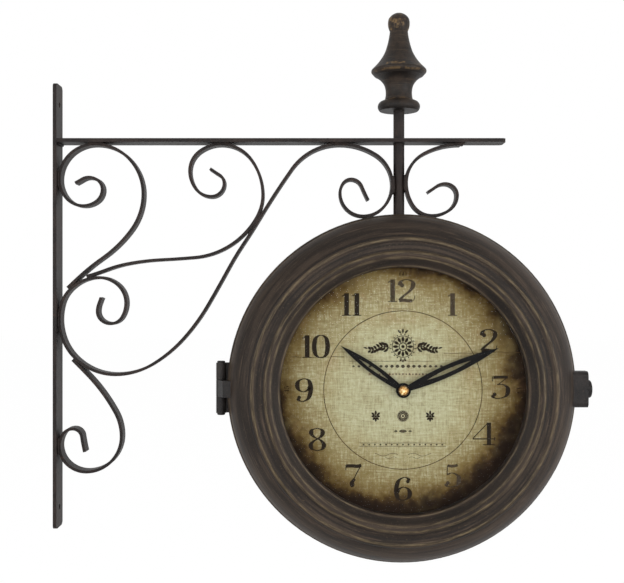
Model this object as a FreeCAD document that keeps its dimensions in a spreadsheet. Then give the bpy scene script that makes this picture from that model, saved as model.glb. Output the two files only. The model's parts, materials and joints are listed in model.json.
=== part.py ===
import FreeCAD, Part
import math
import os
import Sketcher
from types import SimpleNamespace
from FreeCAD import Placement, Rotation, Vector

# Double sided station clock on a wall bracket. Millimetres.
# Origin: midway between the two wall screws, on the wall. +X away from the wall, +Z up,
# the front dial looks along -Y and the rear dial along +Y.

SIZES = {
    # wall strip
    "strip_length": 362.0,
    "strip_width": 20.0,
    "strip_thick": 3.0,
    "strip_corner": 3.5,
    "screw_inset": 16.5,
    "screw_hole": 4.5,
    # arm bar
    "arm_top": 136.0,
    "arm_overhang": 86.1,
    "arm_width": 20.0,
    "arm_thick": 3.0,
    "arm_corner": 3.5,
    # scrolls
    "scroll_thick": 2.4,
    "scroll_depth": 12.0,
    # post, its nuts and the finial
    "post_reach": 281.2,
    "post_radius": 4.5,
    "post_slack": 0.05,
    "post_in_case": 18.0,
    "post_in_finial": 16.0,
    "finial_lift": 23.6,
    "finial_width": 45.2,
    "finial_height": 80.4,
    "nut_across": 13.0,
    "nut_height": 5.0,
    "washer_radius": 9.0,
    "washer_thick": 1.2,
    "saddle_side": 30.0,
    "saddle_thick": 2.5,
    # drum
    "case_drop": 198.4,
    "drum_radius": 131.8,
    "drum_half": 18.0,
    "drum_sheet": 1.0,
    "drum_lip": 9.0,
    # bezel
    "rim_stand": 6.9,
    "bezel_sheet": 1.2,
    "bezel_depth": 38.0,
    "bezel_flange": 10.0,
    "flange_setback": 4.0,
    "rim_bead": 3.5,
    "lip_setback": 10.0,
    "opening_radius": 95.8,
    "door_gap": 0.3,
    "screw_radius": 1.5,
    "screw_head_radius": 2.8,
    "screw_head_height": 1.8,
    "screw_crown_radius": 1.7,
    "screw_slack": 0.05,
    # glass, dial and what holds them
    "glass_cover": 4.6,
    "glass_thick": 2.0,
    "spacer_height": 8.0,
    "spacer_wall": 3.6,
    "dial_thick": 1.0,
    "board_thick": 2.5,
    "pan_sheet": 1.0,
    "pan_slack": 0.3,
    "bush_slack": 0.3,
    "clip_width": 12.0,
    "clip_sheet": 1.0,
    "clip_toe": 4.0,
    "clip_grip": 4.0,
    # movement
    "movement_side": 56.0,
    "movement_depth": 15.0,
    "movement_corner": 4.0,
    "movement_wall": 1.5,
    "cover_thick": 1.5,
    "battery_radius": 7.0,
    "battery_length": 49.0,
    "battery_slack": 0.4,
    "battery_button": 1.2,
    "battery_button_radius": 2.6,
    "battery_edge": 0.6,
    "battery_drop": 18.5,
    "bush_radius": 4.0,
    "bush_nut_across": 9.8,
    "bush_nut_height": 2.0,
    "arbor_radius": 1.2,
    "hour_tube_radius": 2.4,
    "running_fit": 0.05,
    "knob_radius": 7.0,
    "knob_height": 3.0,
    "knob_grip": 1.2,
    "knob_edge": 0.6,
    "wheel_radius": 7.2,
    "wheel_sheet": 1.0,
    "wheel_gap": 0.3,
    # hands
    "minute_length": 81.5,
    "hour_length": 60.0,
    "hand_sheet": 0.7,
    "hand_gap": 0.6,
    "hand_hub_radius": 5.8,
    "hand_neck": 4.6,
    "hand_root": 1.0,
    "hand_nut_radius": 4.2,
    "hand_nut_height": 2.6,
    "hand_nut_dome": 1.4,
    "arbor_proud": 1.6,
    # hinge
    "hinge_stand": 5.3,
    "knuckle_radius": 4.0,
    "hinge_height": 40.0,
    "door_knuckle": 13.0,
    "knuckle_gap": 0.3,
    "pin_radius": 2.0,
    "pin_fit": 0.05,
    "pin_head_radius": 3.2,
    "pin_head_height": 1.6,
    "pin_head_edge": 0.5,
    "strap_thick": 1.6,
    "hinge_wrap": 12.0,
    "rivet_inset": 5.0,
    "rivet_radius": 1.2,
    # latch
    "latch_stand": 7.2,
    "latch_setback": 9.0,
    "latch_width": 15.0,
    "latch_height": 28.5,
    "latch_corner": 4.0,
    "latch_knob_radius": 7.0,
    "latch_root": 14.0,
    "latch_knob_height": 3.2,
    "latch_knob_edge": 1.0,
    "latch_knob_bevel": 1.6,
    "spindle_radius": 2.5,
    "spindle_fit": 0.05,
    "hook_reach": 15.0,
    "hook_width": 2.5,
    "hook_sheet": 2.0,
    "hook_play": 0.3,
    "hook_clear": 1.5,
    "keeper_radius": 1.3,
    "keeper_proud": 1.0,
}


class Dim:
    """A size in mm: its value, and the sheet expression that the document binds."""

    def __init__(self, value, text):
        self.value = float(value)
        self.text = text

    def __add__(self, other):
        other = dim(other)
        return Dim(self.value + other.value, f"({self.text} + {other.text})")

    def __sub__(self, other):
        other = dim(other)
        return Dim(self.value - other.value, f"({self.text} - {other.text})")

    def __mul__(self, other):
        other = dim(other)
        return Dim(self.value * other.value, f"({self.text} * {other.text})")

    def __truediv__(self, other):
        other = dim(other)
        return Dim(self.value / other.value, f"({self.text} / {other.text})")

    def __radd__(self, other):
        return dim(other) + self

    def __rsub__(self, other):
        return dim(other) - self

    def __rmul__(self, other):
        return dim(other) * self

    def __neg__(self):
        return dim(0) - self


def dim(number):
    """A plain number as a Dim."""
    return number if isinstance(number, Dim) else Dim(number, repr(float(number)))


doc = FreeCAD.newDocument("station_clock")
sheet = doc.addObject("Spreadsheet::Sheet", "Sizes")
for row, (alias, number) in enumerate(SIZES.items(), start=1):
    sheet.set(f"A{row}", alias)
    sheet.set(f"B{row}", str(number))
    sheet.setAlias(f"B{row}", alias)
doc.recompute()
size = SimpleNamespace(**{alias: Dim(number, f"Sizes.{alias}") for alias, number in SIZES.items()})

ARM_REACH = size.post_reach + size.arm_overhang
BEZEL_RADIUS = size.drum_radius + size.rim_stand
GLASS_RADIUS = size.opening_radius + size.glass_cover
PAN_RADIUS = GLASS_RADIUS + size.pan_slack
HINGE_REACH = BEZEL_RADIUS + size.hinge_stand
LATCH_REACH = BEZEL_RADIUS + size.latch_stand

ROUND = math.tan(math.radians(90) / 4)      # bulge of a quarter turn, as bulge is tan(turn / 4)
sub_parts = []


# ---------------------------------------------------------------- drawing and solid helpers

def facing(turn, spin=0):
    """Spun so many degrees round its own Y, then turned round Z."""
    return Rotation(Vector(0, 0, 1), turn).multiply(Rotation(Vector(0, 1, 0), spin))


def new_body(label, x=0, y=0, z=0, turn=0, spin=0):
    """A named body at x, y, z, spun so many degrees round its own Y and then turned round Z."""
    body = doc.addObject("PartDesign::Body", label)
    body.Label = label
    body.Placement = Placement(Vector(0, 0, 0), facing(turn, spin))
    for letter, place in (("x", x), ("y", y), ("z", z)):
        body.setExpression(f"Placement.Base.{letter}", dim(place).text)
    sub_parts.append(body)
    return body


def new_sketch(body, role, name, lift=0):
    """A sketch on one of the body's own origin planes, lifted along that plane's normal."""
    plane = next(item for item in body.Origin.OriginFeatures if item.Role == role)
    sketch = body.newObject("Sketcher::SketchObject", f"{body.Name}_{name}")
    sketch.AttachmentSupport = [(plane, "")]
    sketch.MapMode = "FlatFace"
    sketch.setExpression("AttachmentOffset.Base.z", dim(lift).text)
    return sketch


def pin_point(sketch, side, end, x, y):
    """Hold one end of a side at x, y from the sketch's origin."""
    for kind, axis, place in (("DistanceX", -2, x), ("DistanceY", -1, y)):
        if not isinstance(place, Dim) and place == 0:
            sketch.addConstraint(Sketcher.Constraint("PointOnObject", side, end, axis))
            continue
        row = sketch.addConstraint(Sketcher.Constraint(kind, -1, 1, side, end, dim(place).value))
        sketch.setExpression(f"Constraints[{row}]", dim(place).text)


def bulged_side(start, end, bulge):
    """The line or the arc from start to end; a positive bulge turns anticlockwise."""
    if bulge == 0:
        return Part.LineSegment(start, end), (1, 2)
    chord = end - start
    middle = (start + end) / 2 + Vector(chord.y, -chord.x, 0) * (bulge / 2)
    if bulge > 0:
        return Part.Arc(start, middle, end), (1, 2)
    return Part.Arc(end, middle, start), (2, 1)


def draw_outline(sketch, corners, held=True):
    """A closed outline through corners x, y, or x, y, bulge of the side that leaves the corner."""
    places = [(corner[0], corner[1]) for corner in corners]
    bulges = [corner[2] if len(corner) > 2 else 0 for corner in corners]
    points = [Vector(dim(x).value, dim(y).value, 0) for x, y in places]
    first = sketch.GeometryCount
    sides = [bulged_side(points[step], points[(step + 1) % len(points)], bulge)
             for step, bulge in enumerate(bulges)]
    ends = [order for _, order in sides]
    sketch.addGeometry([side for side, _ in sides], False)
    sketch.addConstraint([Sketcher.Constraint(
        "Coincident", first + (step - 1) % len(sides), ends[step - 1][1], first + step, ends[step][0])
        for step in range(len(sides))])
    if held:
        for step, (x, y) in enumerate(places):
            pin_point(sketch, first + step, ends[step][0], x, y)


def draw_circle(sketch, x, y, radius):
    """A circle of a bound radius at a bound place."""
    circle = Part.Circle(Vector(dim(x).value, dim(y).value, 0), Vector(0, 0, 1), radius.value)
    side = sketch.addGeometry(circle, False)
    row = sketch.addConstraint(Sketcher.Constraint("Radius", side, radius.value))
    sketch.setExpression(f"Constraints[{row}]", radius.text)
    pin_point(sketch, side, 3, x, y)


def pad(body, sketch, length, middle=False, back=False):
    """Raise a sketch by a bound length, along its normal, back from it, or half each way."""
    feature = body.newObject("PartDesign::Pad", f"{sketch.Name}_pad")
    feature.Profile = sketch
    feature.setExpression("Length", dim(length).text)
    feature.Midplane = middle
    feature.Reversed = back
    return feature


def cut(body, sketch, length=None, back=False, both=False):
    """Cut a sketch into the body, through all of it where no length is given."""
    feature = body.newObject("PartDesign::Pocket", f"{sketch.Name}_cut")
    feature.Profile = sketch
    feature.Reversed = back
    feature.Midplane = both
    if length is None:
        feature.Type = "ThroughAll"
    else:
        feature.setExpression("Length", dim(length).text)
    return feature


def turn_profile(body, sketch):
    """Turn a sketch all the way round its own upright axis."""
    feature = body.newObject("PartDesign::Revolution", f"{sketch.Name}_turned")
    feature.Profile = sketch
    feature.ReferenceAxis = (sketch, ["V_Axis"])
    feature.Angle = 360
    return feature


def turned_body(label, corners, role="XY_Plane", **place):
    """A body turned from one closed profile of radius and height."""
    body = new_body(label, **place)
    sketch = new_sketch(body, role, "profile")
    draw_outline(sketch, corners)
    turn_profile(body, sketch)
    return body


def plate_body(label, role, corners, thickness, lift=0, middle=False, back=False, **place):
    """A body raised from one closed outline."""
    body = new_body(label, **place)
    sketch = new_sketch(body, role, "outline", lift)
    draw_outline(sketch, corners)
    pad(body, sketch, thickness, middle, back)
    return body


def rounded_box(left, right, low, high, corner):
    """The corners of a rectangle whose four corners are quarter rounds."""
    return [(left + corner, low), (right - corner, low, ROUND), (right, low + corner),
            (right, high - corner, ROUND), (right - corner, high), (left + corner, high, ROUND),
            (left, high - corner), (left, low + corner, ROUND)]


# ---------------------------------------------------------------- wall strip and arm bar

def make_wall_strip():
    half_width = size.strip_width / 2
    half_length = size.strip_length / 2
    strip = plate_body("wall_strip", "YZ_Plane",
                       rounded_box(-half_width, half_width, -half_length, half_length,
                                   size.strip_corner), size.strip_thick)
    holes = new_sketch(strip, "YZ_Plane", "screw_holes")
    screw_height = half_length - size.screw_inset
    for height in (screw_height, -screw_height):
        draw_circle(holes, 0, height, size.screw_hole / 2)
    cut(strip, holes, back=True)


def make_arm_bar():
    half_width = size.arm_width / 2
    outline = [(size.strip_thick, -half_width), (ARM_REACH - size.arm_corner, -half_width, ROUND),
               (ARM_REACH, -half_width + size.arm_corner),
               (ARM_REACH, half_width - size.arm_corner, ROUND),
               (ARM_REACH - size.arm_corner, half_width), (size.strip_thick, half_width)]
    arm = plate_body("arm_bar", "XY_Plane", outline, size.arm_thick,
                     z=size.arm_top - size.arm_thick)
    hole = new_sketch(arm, "XY_Plane", "post_hole")
    draw_circle(hole, size.post_reach, 0, size.post_radius + size.post_slack)
    cut(arm, hole, back=True)


# ---------------------------------------------------------------- scrolls

SCROLL_ROOM = 278.2         # from the wall strip to the post, as the scrolls' stations are drawn
TOUCH = math.inf            # stands for a bar's face that lies against the piece beside it


def direction(degrees):
    return Vector(math.cos(math.radians(degrees)), math.sin(math.radians(degrees)), 0)


def left_of(way):
    return Vector(-way.y, way.x, 0)


def biarc_middle(start, way, end, end_way):
    """The point where two arcs meet that join start to end and keep both ways."""
    chord = end - start
    both = way + end_way
    parting = 2 * (1 - way.dot(end_way))
    along = chord.dot(both)
    if parting < 1e-9:
        reach = chord.dot(chord) / (2 * along)
    else:
        reach = (math.sqrt(along * along + 2 * parting * chord.dot(chord) / 2) - along) / parting
    return (start + end + (way - end_way) * reach) / 2


def arc_run(stations):
    """The tangent arcs through stations x, z, heading: points, ways there and bulges between."""
    points = [Vector(stations[0][0], stations[0][1], 0)]
    ways = [direction(stations[0][2])]
    bulges = []
    for x, z, heading in stations[1:]:
        end = Vector(x, z, 0)
        end_way = direction(heading)
        for target in (biarc_middle(points[-1], ways[-1], end, end_way), end):
            chord = target - points[-1]
            way = ways[-1]
            swing = math.atan2(left_of(way).dot(chord), way.dot(chord))
            bulges.append(math.tan(swing / 2))
            points.append(target)
            ways.append(Rotation(Vector(0, 0, 1), math.degrees(2 * swing)).multVec(way))
    return points, ways, bulges


def make_scroll(label, stations):
    """A flat bar bent on edge-free arcs, drawn as its middle line with half the bar each side."""
    half = size.scroll_thick.value / 2
    points, ways, bulges = arc_run(stations)
    left = [point + left_of(way) * half for point, way in zip(points, ways)]
    right = [point - left_of(way) * half for point, way in zip(points, ways)]
    corners = [(point.x, point.y, bulge) for point, bulge in zip(left, bulges + [0])]
    back_bulges = [-bulge for bulge in reversed(bulges)] + [0]
    corners += [(point.x, point.y, bulge) for point, bulge in zip(reversed(right), back_bulges)]
    body = new_body(label)
    sketch = new_sketch(body, "XZ_Plane", "outline")
    draw_outline(sketch, corners, held=False)
    pad(body, sketch, size.scroll_depth, middle=True)


def beside(station, lean):
    """The same heading, one bar's thickness to the right, or to the left where lean is -1."""
    x, z, heading = station
    shift = left_of(direction(heading)) * (-lean * size.scroll_thick.value)
    return x + shift.x, z + shift.y, heading


def reversed_way(station):
    return station[0], station[1], station[2] + 180


def make_scrolls():
    """Five flat scrolls. Each touches the bars, the post or the next scroll where it is welded."""
    half_bar = size.scroll_thick.value / 2
    strip_face = size.strip_thick.value
    underside = (size.arm_top - size.arm_thick).value
    post = size.post_reach.value
    scale = (post - strip_face) / SCROLL_ROOM

    def drawn(place, against):
        """A station's place: so many drawn mm off, or with the bar's face laid against a piece."""
        if abs(place) == TOUCH:
            return math.copysign(against + half_bar, place)
        return place * scale

    def wall_side(reach, drop, heading):
        return strip_face + drawn(reach, 0), underside - drawn(drop, 0), heading

    def post_side(reach, drop, heading):
        return post + drawn(reach, size.post_radius.value), underside - drawn(drop, 0), heading

    middle_weld = wall_side(24.0, 111.2, 196)
    upper_weld = wall_side(9.6, 120.0, 225)
    lower_weld = wall_side(13.7, 175.1, 315)
    cross_weld = post_side(-115.0, 63.5, 59)
    make_scroll("long_scroll", [
        wall_side(35.2, 126.3, 250), wall_side(32.2, 137.5, 270), wall_side(42.9, 147.5, 0),
        wall_side(55.4, 130.7, 90), wall_side(33.2, 109.9, 180), middle_weld, upper_weld,
        wall_side(TOUCH, 144.1, 270), lower_weld, wall_side(47.0, 189.0, 0),
        wall_side(102.0, 160.0, 48), post_side(-139.1, 102.3, 61.5), cross_weld,
        post_side(-48.5, TOUCH, 0), post_side(-TOUCH, 34.2, 270), post_side(-29.5, 59.8, 180),
        post_side(-48.3, 41.0, 90), post_side(-39.3, 29.7, 0), post_side(-25.4, 46.8, 297)])
    make_scroll("upper_scroll", [
        reversed_way(beside(upper_weld, 1)), wall_side(36.1, 94.2, 35), wall_side(69.4, 41.6, 90),
        wall_side(30.3, TOUCH, 180), wall_side(TOUCH, 29.7, 270), wall_side(20.6, 51.4, 0),
        wall_side(36.2, 38.0, 90), wall_side(25.2, 28.2, 180), wall_side(14.1, 32.9, 207)])
    make_scroll("middle_scroll", [
        reversed_way(beside(middle_weld, 1)), wall_side(56.5, 98.7, 11), wall_side(111.4, 93.5, 5),
        beside(cross_weld, -1), post_side(-111.3, 42.5, 90), post_side(-145.3, TOUCH, 180),
        post_side(-170.8, 23.0, 270), post_side(-153.3, 43.8, 0), post_side(-142.8, 33.2, 90),
        post_side(-154.2, 21.2, 145)])
    make_scroll("lower_scroll", [
        beside(lower_weld, 1), wall_side(35.3, 202.2, 307), wall_side(51.7, 239.4, 270),
        wall_side(23.2, 268.2, 180), wall_side(TOUCH, 247.2, 90), wall_side(12.1, 233.2, 0),
        wall_side(21.8, 252.0, 283)])
    make_scroll("outer_scroll", [
        post_side(50.2, TOUCH, 180), post_side(TOUCH, 32.8, 270), post_side(26.6, 59.4, 0),
        post_side(47.2, 42.8, 90), post_side(37.4, 33.4, 180), post_side(23.4, 40.3, 212)])


# ---------------------------------------------------------------- post, nuts and finial

POST = size.post_reach
CASE_Z = size.arm_top - size.arm_thick - size.case_drop
POST_BORE = size.post_radius + size.post_slack
DRUM_INSIDE = size.drum_radius - size.drum_sheet


def make_post():
    foot = CASE_Z + size.drum_radius - size.post_in_case
    head = size.arm_top + size.finial_lift + size.post_in_finial
    turned_body("post", [(0, foot), (size.post_radius, foot), (size.post_radius, head), (0, head)],
                role="XZ_Plane", x=POST)


def make_finial():
    """A turned foot ring, waist, spreading rim and ogee under a ball, bored for the post."""
    bore = POST_BORE
    floor = size.post_in_finial + size.post_slack
    half = size.finial_width / 2
    tall = size.finial_height
    cap_radius = half * 0.373
    cap_height = tall * 0.936
    cap = math.tan(math.atan2((tall - cap_height).value, cap_radius.value) / 2)
    foot = [(0.694, 0, 0.52), (0.66, 0.095), (0.51, 0.114, -0.16), (0.523, 0.261, -0.18), (0.883, 0.358)]
    flare = [(0.99, 0.391, 0.35), (0.96, 0.427), (0.84, 0.461, -0.09), (0.488, 0.61, -0.06)]
    neck = [(0.326, 0.81), (0.356, 0.832, 0.16)]
    turned = [(half * share[0], tall * share[1], *share[2:]) for share in foot + flare + neck]
    turned_body("finial", [(bore, 0), *turned, (cap_radius, cap_height, cap), (0, tall), (0, floor),
                           (bore, floor)],
                role="XZ_Plane", x=POST, z=size.arm_top + size.finial_lift)


def hexagon(across):
    """The six corners of a hexagon, given the size across its flats."""
    reach = across / math.sqrt(3)
    return [(reach * math.cos(math.radians(60 * step)), reach * math.sin(math.radians(60 * step)))
            for step in range(6)]


def nut_solid(across, inner, low, height):
    """A hexagon nut round the upright axis, with its corners turned off."""
    corners = [Vector(x.value, y.value, low.value) for x, y in hexagon(across)]
    blank = Part.Face(Part.makePolygon(corners + corners[:1])).extrude(Vector(0, 0, height.value))
    blank = blank.cut(Part.makeCylinder(inner.value, height.value, Vector(0, 0, low.value)))
    flat = (across / 2).value
    bevel = Part.makeCone(flat * 1.35, flat, height.value * 1.6, Vector(0, 0, low.value))
    return blank.common(bevel)


def new_group(label, solids, placement):
    """Alike pieces that share one node."""
    group = doc.addObject("Part::Feature", label)
    group.Label = label
    group.Shape = Part.makeCompound(solids)
    group.Placement = placement
    sub_parts.append(group)
    return group


def make_post_fixings():
    """Above the drum wall a washer and a nut, below it a saddle plate and a nut."""
    case_top = Placement(Vector(POST.value, 0, CASE_Z.value), Rotation())
    washer_top = size.drum_radius + size.washer_thick
    turned_body("post_washer", [
        (POST_BORE, size.drum_radius), (size.washer_radius, size.drum_radius),
        (size.washer_radius, washer_top), (POST_BORE, washer_top)],
        role="XZ_Plane", x=POST, z=CASE_Z)
    saddle = new_body("saddle_plate", x=POST, z=CASE_Z)
    block = new_sketch(saddle, "XY_Plane", "block", lift=DRUM_INSIDE - size.saddle_thick)
    half = size.saddle_side / 2
    draw_outline(block, [(-half, -half), (half, -half), (half, half), (-half, half)])
    pad(saddle, block, size.saddle_thick)
    crown = new_sketch(saddle, "XZ_Plane", "crown")
    draw_outline(crown, [
        (-DRUM_INSIDE, 0, -1), (DRUM_INSIDE, 0), (DRUM_INSIDE, size.drum_radius + half),
        (-DRUM_INSIDE, size.drum_radius + half)])
    cut(saddle, crown, size.saddle_side * 2, both=True)
    hole = new_sketch(saddle, "XY_Plane", "hole")
    draw_circle(hole, 0, 0, POST_BORE)
    cut(saddle, hole, back=True)
    lower = DRUM_INSIDE - size.saddle_thick - size.nut_height
    new_group("post_nuts", [nut_solid(size.nut_across, POST_BORE, washer_top, size.nut_height),
                            nut_solid(size.nut_across, POST_BORE, lower, size.nut_height)], case_top)


# ---------------------------------------------------------------- drum

SCREW_CIRCLE = size.drum_radius - size.drum_lip / 2
SCREW_ANGLES = [20 + 60 * step for step in range(6)]
CLIP_ANGLES = [45 + 90 * step for step in range(4)]
LATCH_DEPTH = size.drum_half + size.latch_setback
KEEPER_DEPTH = LATCH_DEPTH + size.door_gap - size.hook_reach + size.hook_play + size.keeper_radius


def make_drum():
    """A rolled band with a flat lip turned in at each side, and the post's hole on top."""
    outer = size.drum_radius
    lip = outer - size.drum_lip
    deep = size.drum_half
    thin = size.drum_half - size.drum_sheet
    drum = turned_body("drum", [
        (lip, -deep), (outer, -deep), (outer, deep), (lip, deep), (lip, thin),
        (DRUM_INSIDE, thin), (DRUM_INSIDE, -thin), (lip, -thin)], x=POST, z=CASE_Z)
    post_hole = new_sketch(drum, "XY_Plane", "post_hole")
    draw_circle(post_hole, 0, 0, POST_BORE)
    cut(drum, post_hole, outer * 2, back=True)
    flange_holes(drum, "screw_holes", SCREW_ANGLES, 0, size.drum_half * 2, back=False)
    pin_hole = new_sketch(drum, "YZ_Plane", "keeper_hole")
    draw_circle(pin_hole, -KEEPER_DEPTH, 0, size.keeper_radius)
    cut(drum, pin_hole, outer * 2, back=True)
    rivet_holes = new_sketch(drum, "YZ_Plane", "rivet_holes")
    for along, up in rivet_places():
        draw_circle(rivet_holes, -along, up, size.rivet_radius)
    cut(drum, rivet_holes, outer * 2)


def flange_holes(body, name, angles, start, depth, back):
    """Screw holes on the screw circle, through a flange that is square to the clock axis."""
    holes = new_sketch(body, "XZ_Plane", name, lift=start)
    for angle in angles:
        across = SCREW_CIRCLE * math.cos(math.radians(angle))
        up = SCREW_CIRCLE * math.sin(math.radians(angle))
        draw_circle(holes, across, up, size.screw_radius + size.screw_slack)
    cut(body, holes, depth, back=back)


def screw_solid(head_side, head_low, shank_end):
    """A round-headed screw along Y: the head's seat, its top and the shank's end."""
    way = Vector(0, 1 if head_side > 0 else -1, 0)
    seat = Vector(0, head_low.value, 0)
    shank = Part.makeCylinder(size.screw_radius.value, abs(head_low.value - shank_end.value), seat, -way)
    head = Part.makeCone(size.screw_head_radius.value, size.screw_crown_radius.value,
                         size.screw_head_height.value, seat, way)
    return head.fuse(shank).removeSplitter()


def on_screw_circle(solid, angles):
    """Copies of a solid, moved out to the screw circle at each angle."""
    copies = []
    for angle in angles:
        copy = solid.copy()
        copy.translate(Vector(SCREW_CIRCLE.value, 0, 0))
        copy.rotate(Vector(0, 0, 0), Vector(0, 1, 0), -angle)
        copies.append(copy)
    return copies


def make_rear_bezel_screws():
    """Screws from inside the drum, through its lip into the rear bezel's flange."""
    seat = size.drum_half - size.drum_sheet
    screw = screw_solid(-1, seat, size.drum_half + size.bezel_sheet)
    new_group("rear_bezel_screws", on_screw_circle(screw, SCREW_ANGLES),
              Placement(Vector(POST.value, 0, CASE_Z.value), Rotation()))


# ---------------------------------------------------------------- one side of the clock

LIP_BACK = size.drum_half + size.bezel_depth - size.lip_setback
GLASS_BACK = LIP_BACK - size.glass_thick
DIAL_FACE = GLASS_BACK - size.spacer_height
DIAL_BACK = DIAL_FACE - size.dial_thick
BOARD_BACK = DIAL_BACK - size.board_thick
PAN_BACK = BOARD_BACK - size.pan_sheet
CASE_BACK = PAN_BACK - size.movement_depth
BUSH_TOP = DIAL_FACE + size.bush_nut_height
HOUR_BACK = BUSH_TOP + size.hand_gap
HOUR_FACE = HOUR_BACK + size.hand_sheet
MINUTE_BACK = HOUR_FACE + size.hand_gap
MINUTE_FACE = MINUTE_BACK + size.hand_sheet
HOUR_BORE = size.arbor_radius + size.running_fit
BUSH_BORE = size.hour_tube_radius + size.running_fit
BATTERY_DEPTH = PAN_BACK - size.movement_wall - size.battery_radius
HOUR_ANGLE = 305.5      # degrees clockwise from twelve, at eleven minutes past ten
MINUTE_ANGLE = 66.0
LEAF_BELLY = 0.09       # bulge of a hand's edge
SLOT_BELLY = 0.075
SLOT_FOOT = 0.24        # where a hand's slot starts and ends, as shares of its length
SLOT_HEAD = 0.71
KNOB_GRIPS = 10


def in_from_rim(share):
    """A radius so far in from the rim, as a share of the way to the opening."""
    return BEZEL_RADIUS - (BEZEL_RADIUS - size.opening_radius) * share


def out_from_seam(share):
    """A depth so far out from the seam, as a share of the bezel's depth."""
    return size.drum_half + size.bezel_depth * share


def bezel_face():
    """The bezel's outer face, from the rim at the seam to the lip round the glass."""
    bead = size.rim_bead
    seam = size.drum_half
    roll = [(0.033, 0.19, 0.2), (0.419, 0.832), (0.437, 0.879, 0.3), (0.521, 0.911)]
    cove = [(0.549, 0.895, -0.12), (0.698, 0.905, 0.45)]
    lip = [(0.8, 0.94), (0.84, 0.915), (0.965, 0.8, 0.3), (1.0, 0.762)]
    turned = [(in_from_rim(share[0]), out_from_seam(share[1]), *share[2:]) for share in roll + cove + lip]
    return [(BEZEL_RADIUS - bead, seam, ROUND), (BEZEL_RADIUS, seam + bead, 0.3), *turned]


def make_bezel(side, place):
    """A spun ring: rim bead, broad outer roll, two steps, a cove and the bead round the glass."""
    seam = size.drum_half
    wall = size.bezel_sheet
    groove = PAN_RADIUS + size.pan_sheet + size.pan_slack
    flange = BEZEL_RADIUS - size.flange_setback
    inside = [
        (size.opening_radius, LIP_BACK), (groove, LIP_BACK), (in_from_rim(0.79), out_from_seam(0.86)),
        (in_from_rim(0.721), out_from_seam(0.872)), (in_from_rim(0.512), out_from_seam(0.863)),
        (in_from_rim(0.465), out_from_seam(0.832), -0.2), (in_from_rim(0.033) - wall, out_from_seam(0.19)),
        (BEZEL_RADIUS - wall, seam + size.rim_bead), (flange, seam + wall),
        (flange - size.bezel_flange, seam + wall), (flange - size.bezel_flange, seam)]
    return turned_body(f"{side}_bezel", bezel_face() + inside, **place)


def disc(label, radius, low, high, hole, place):
    """A round plate with a hole in the middle."""
    return turned_body(label, [(hole, low), (radius, low), (radius, high), (hole, high)], **place)


def make_stack(side, place):
    """Glass, spacer ring, dial, board and the pan that holds them against the bezel's lip."""
    turned_body(f"{side}_glass", [
        (0, GLASS_BACK), (GLASS_RADIUS, GLASS_BACK), (GLASS_RADIUS, LIP_BACK),
        (0, LIP_BACK)], **place)
    disc(f"{side}_spacer_ring", GLASS_RADIUS, DIAL_FACE, GLASS_BACK,
         GLASS_RADIUS - size.spacer_wall, place)
    hole = size.bush_radius + size.bush_slack
    disc(f"{side}_dial", GLASS_RADIUS, DIAL_BACK, DIAL_FACE, hole, place)
    disc(f"{side}_dial_board", GLASS_RADIUS, BOARD_BACK, DIAL_BACK, hole, place)
    wall = PAN_RADIUS + size.pan_sheet
    turned_body(f"{side}_pan", [
        (hole, PAN_BACK), (wall, PAN_BACK), (wall, LIP_BACK), (PAN_RADIUS, LIP_BACK),
        (PAN_RADIUS, BOARD_BACK), (hole, BOARD_BACK)], **place)


def make_movement(side, place):
    """A quartz movement: case with its bush, cover, battery, arbor, hour tube and knob."""
    half = size.movement_side / 2
    wall = size.movement_wall
    case = plate_body(f"{side}_movement_case", "XZ_Plane",
                      rounded_box(-half, half, -half, half, size.movement_corner),
                      size.movement_depth, lift=-PAN_BACK, **place)
    bush = new_sketch(case, "XZ_Plane", "bush", lift=-BUSH_TOP)
    draw_circle(bush, 0, 0, size.bush_radius)
    pad(case, bush, BUSH_TOP - PAN_BACK)
    bore = new_sketch(case, "XZ_Plane", "bore", lift=-BUSH_TOP)
    draw_circle(bore, 0, 0, BUSH_BORE)
    cut(case, bore, BUSH_TOP - CASE_BACK, back=True)
    bay_radius = size.battery_radius + size.battery_slack
    bay_length = size.battery_length / 2 + size.battery_slack
    bay = new_sketch(case, "XZ_Plane", "battery_bay", lift=-CASE_BACK)
    draw_outline(bay, [
        (-bay_length, -size.battery_drop - bay_radius), (bay_length, -size.battery_drop - bay_radius),
        (bay_length, -size.battery_drop + bay_radius), (-bay_length, -size.battery_drop + bay_radius)])
    cut(case, bay, size.movement_depth - wall)
    room_low = -size.battery_drop + bay_radius + wall
    room = new_sketch(case, "XZ_Plane", "wheel_room", lift=-CASE_BACK)
    draw_outline(room, rounded_box(-half + wall, half - wall, room_low, half - wall,
                                   size.movement_corner - wall))
    cut(case, room, size.movement_depth - wall)
    cover = plate_body(f"{side}_movement_cover", "XZ_Plane",
                       rounded_box(-half, half, room_low - wall, half, size.movement_corner / 2),
                       size.cover_thick, lift=-CASE_BACK, **place)
    arbor_hole = new_sketch(cover, "XZ_Plane", "arbor_hole", lift=-CASE_BACK)
    draw_circle(arbor_hole, 0, 0, HOUR_BORE)
    cut(cover, arbor_hole, size.cover_thick, back=True)
    return case


def hand_outline(length):
    """The leaf of a hand that points up: its neck, its bellied edges and its tip."""
    neck = size.hand_neck / 2
    root = size.hand_hub_radius - size.hand_root
    return [(-neck, root), (neck, root, LEAF_BELLY), (0, length, LEAF_BELLY)]


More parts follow.
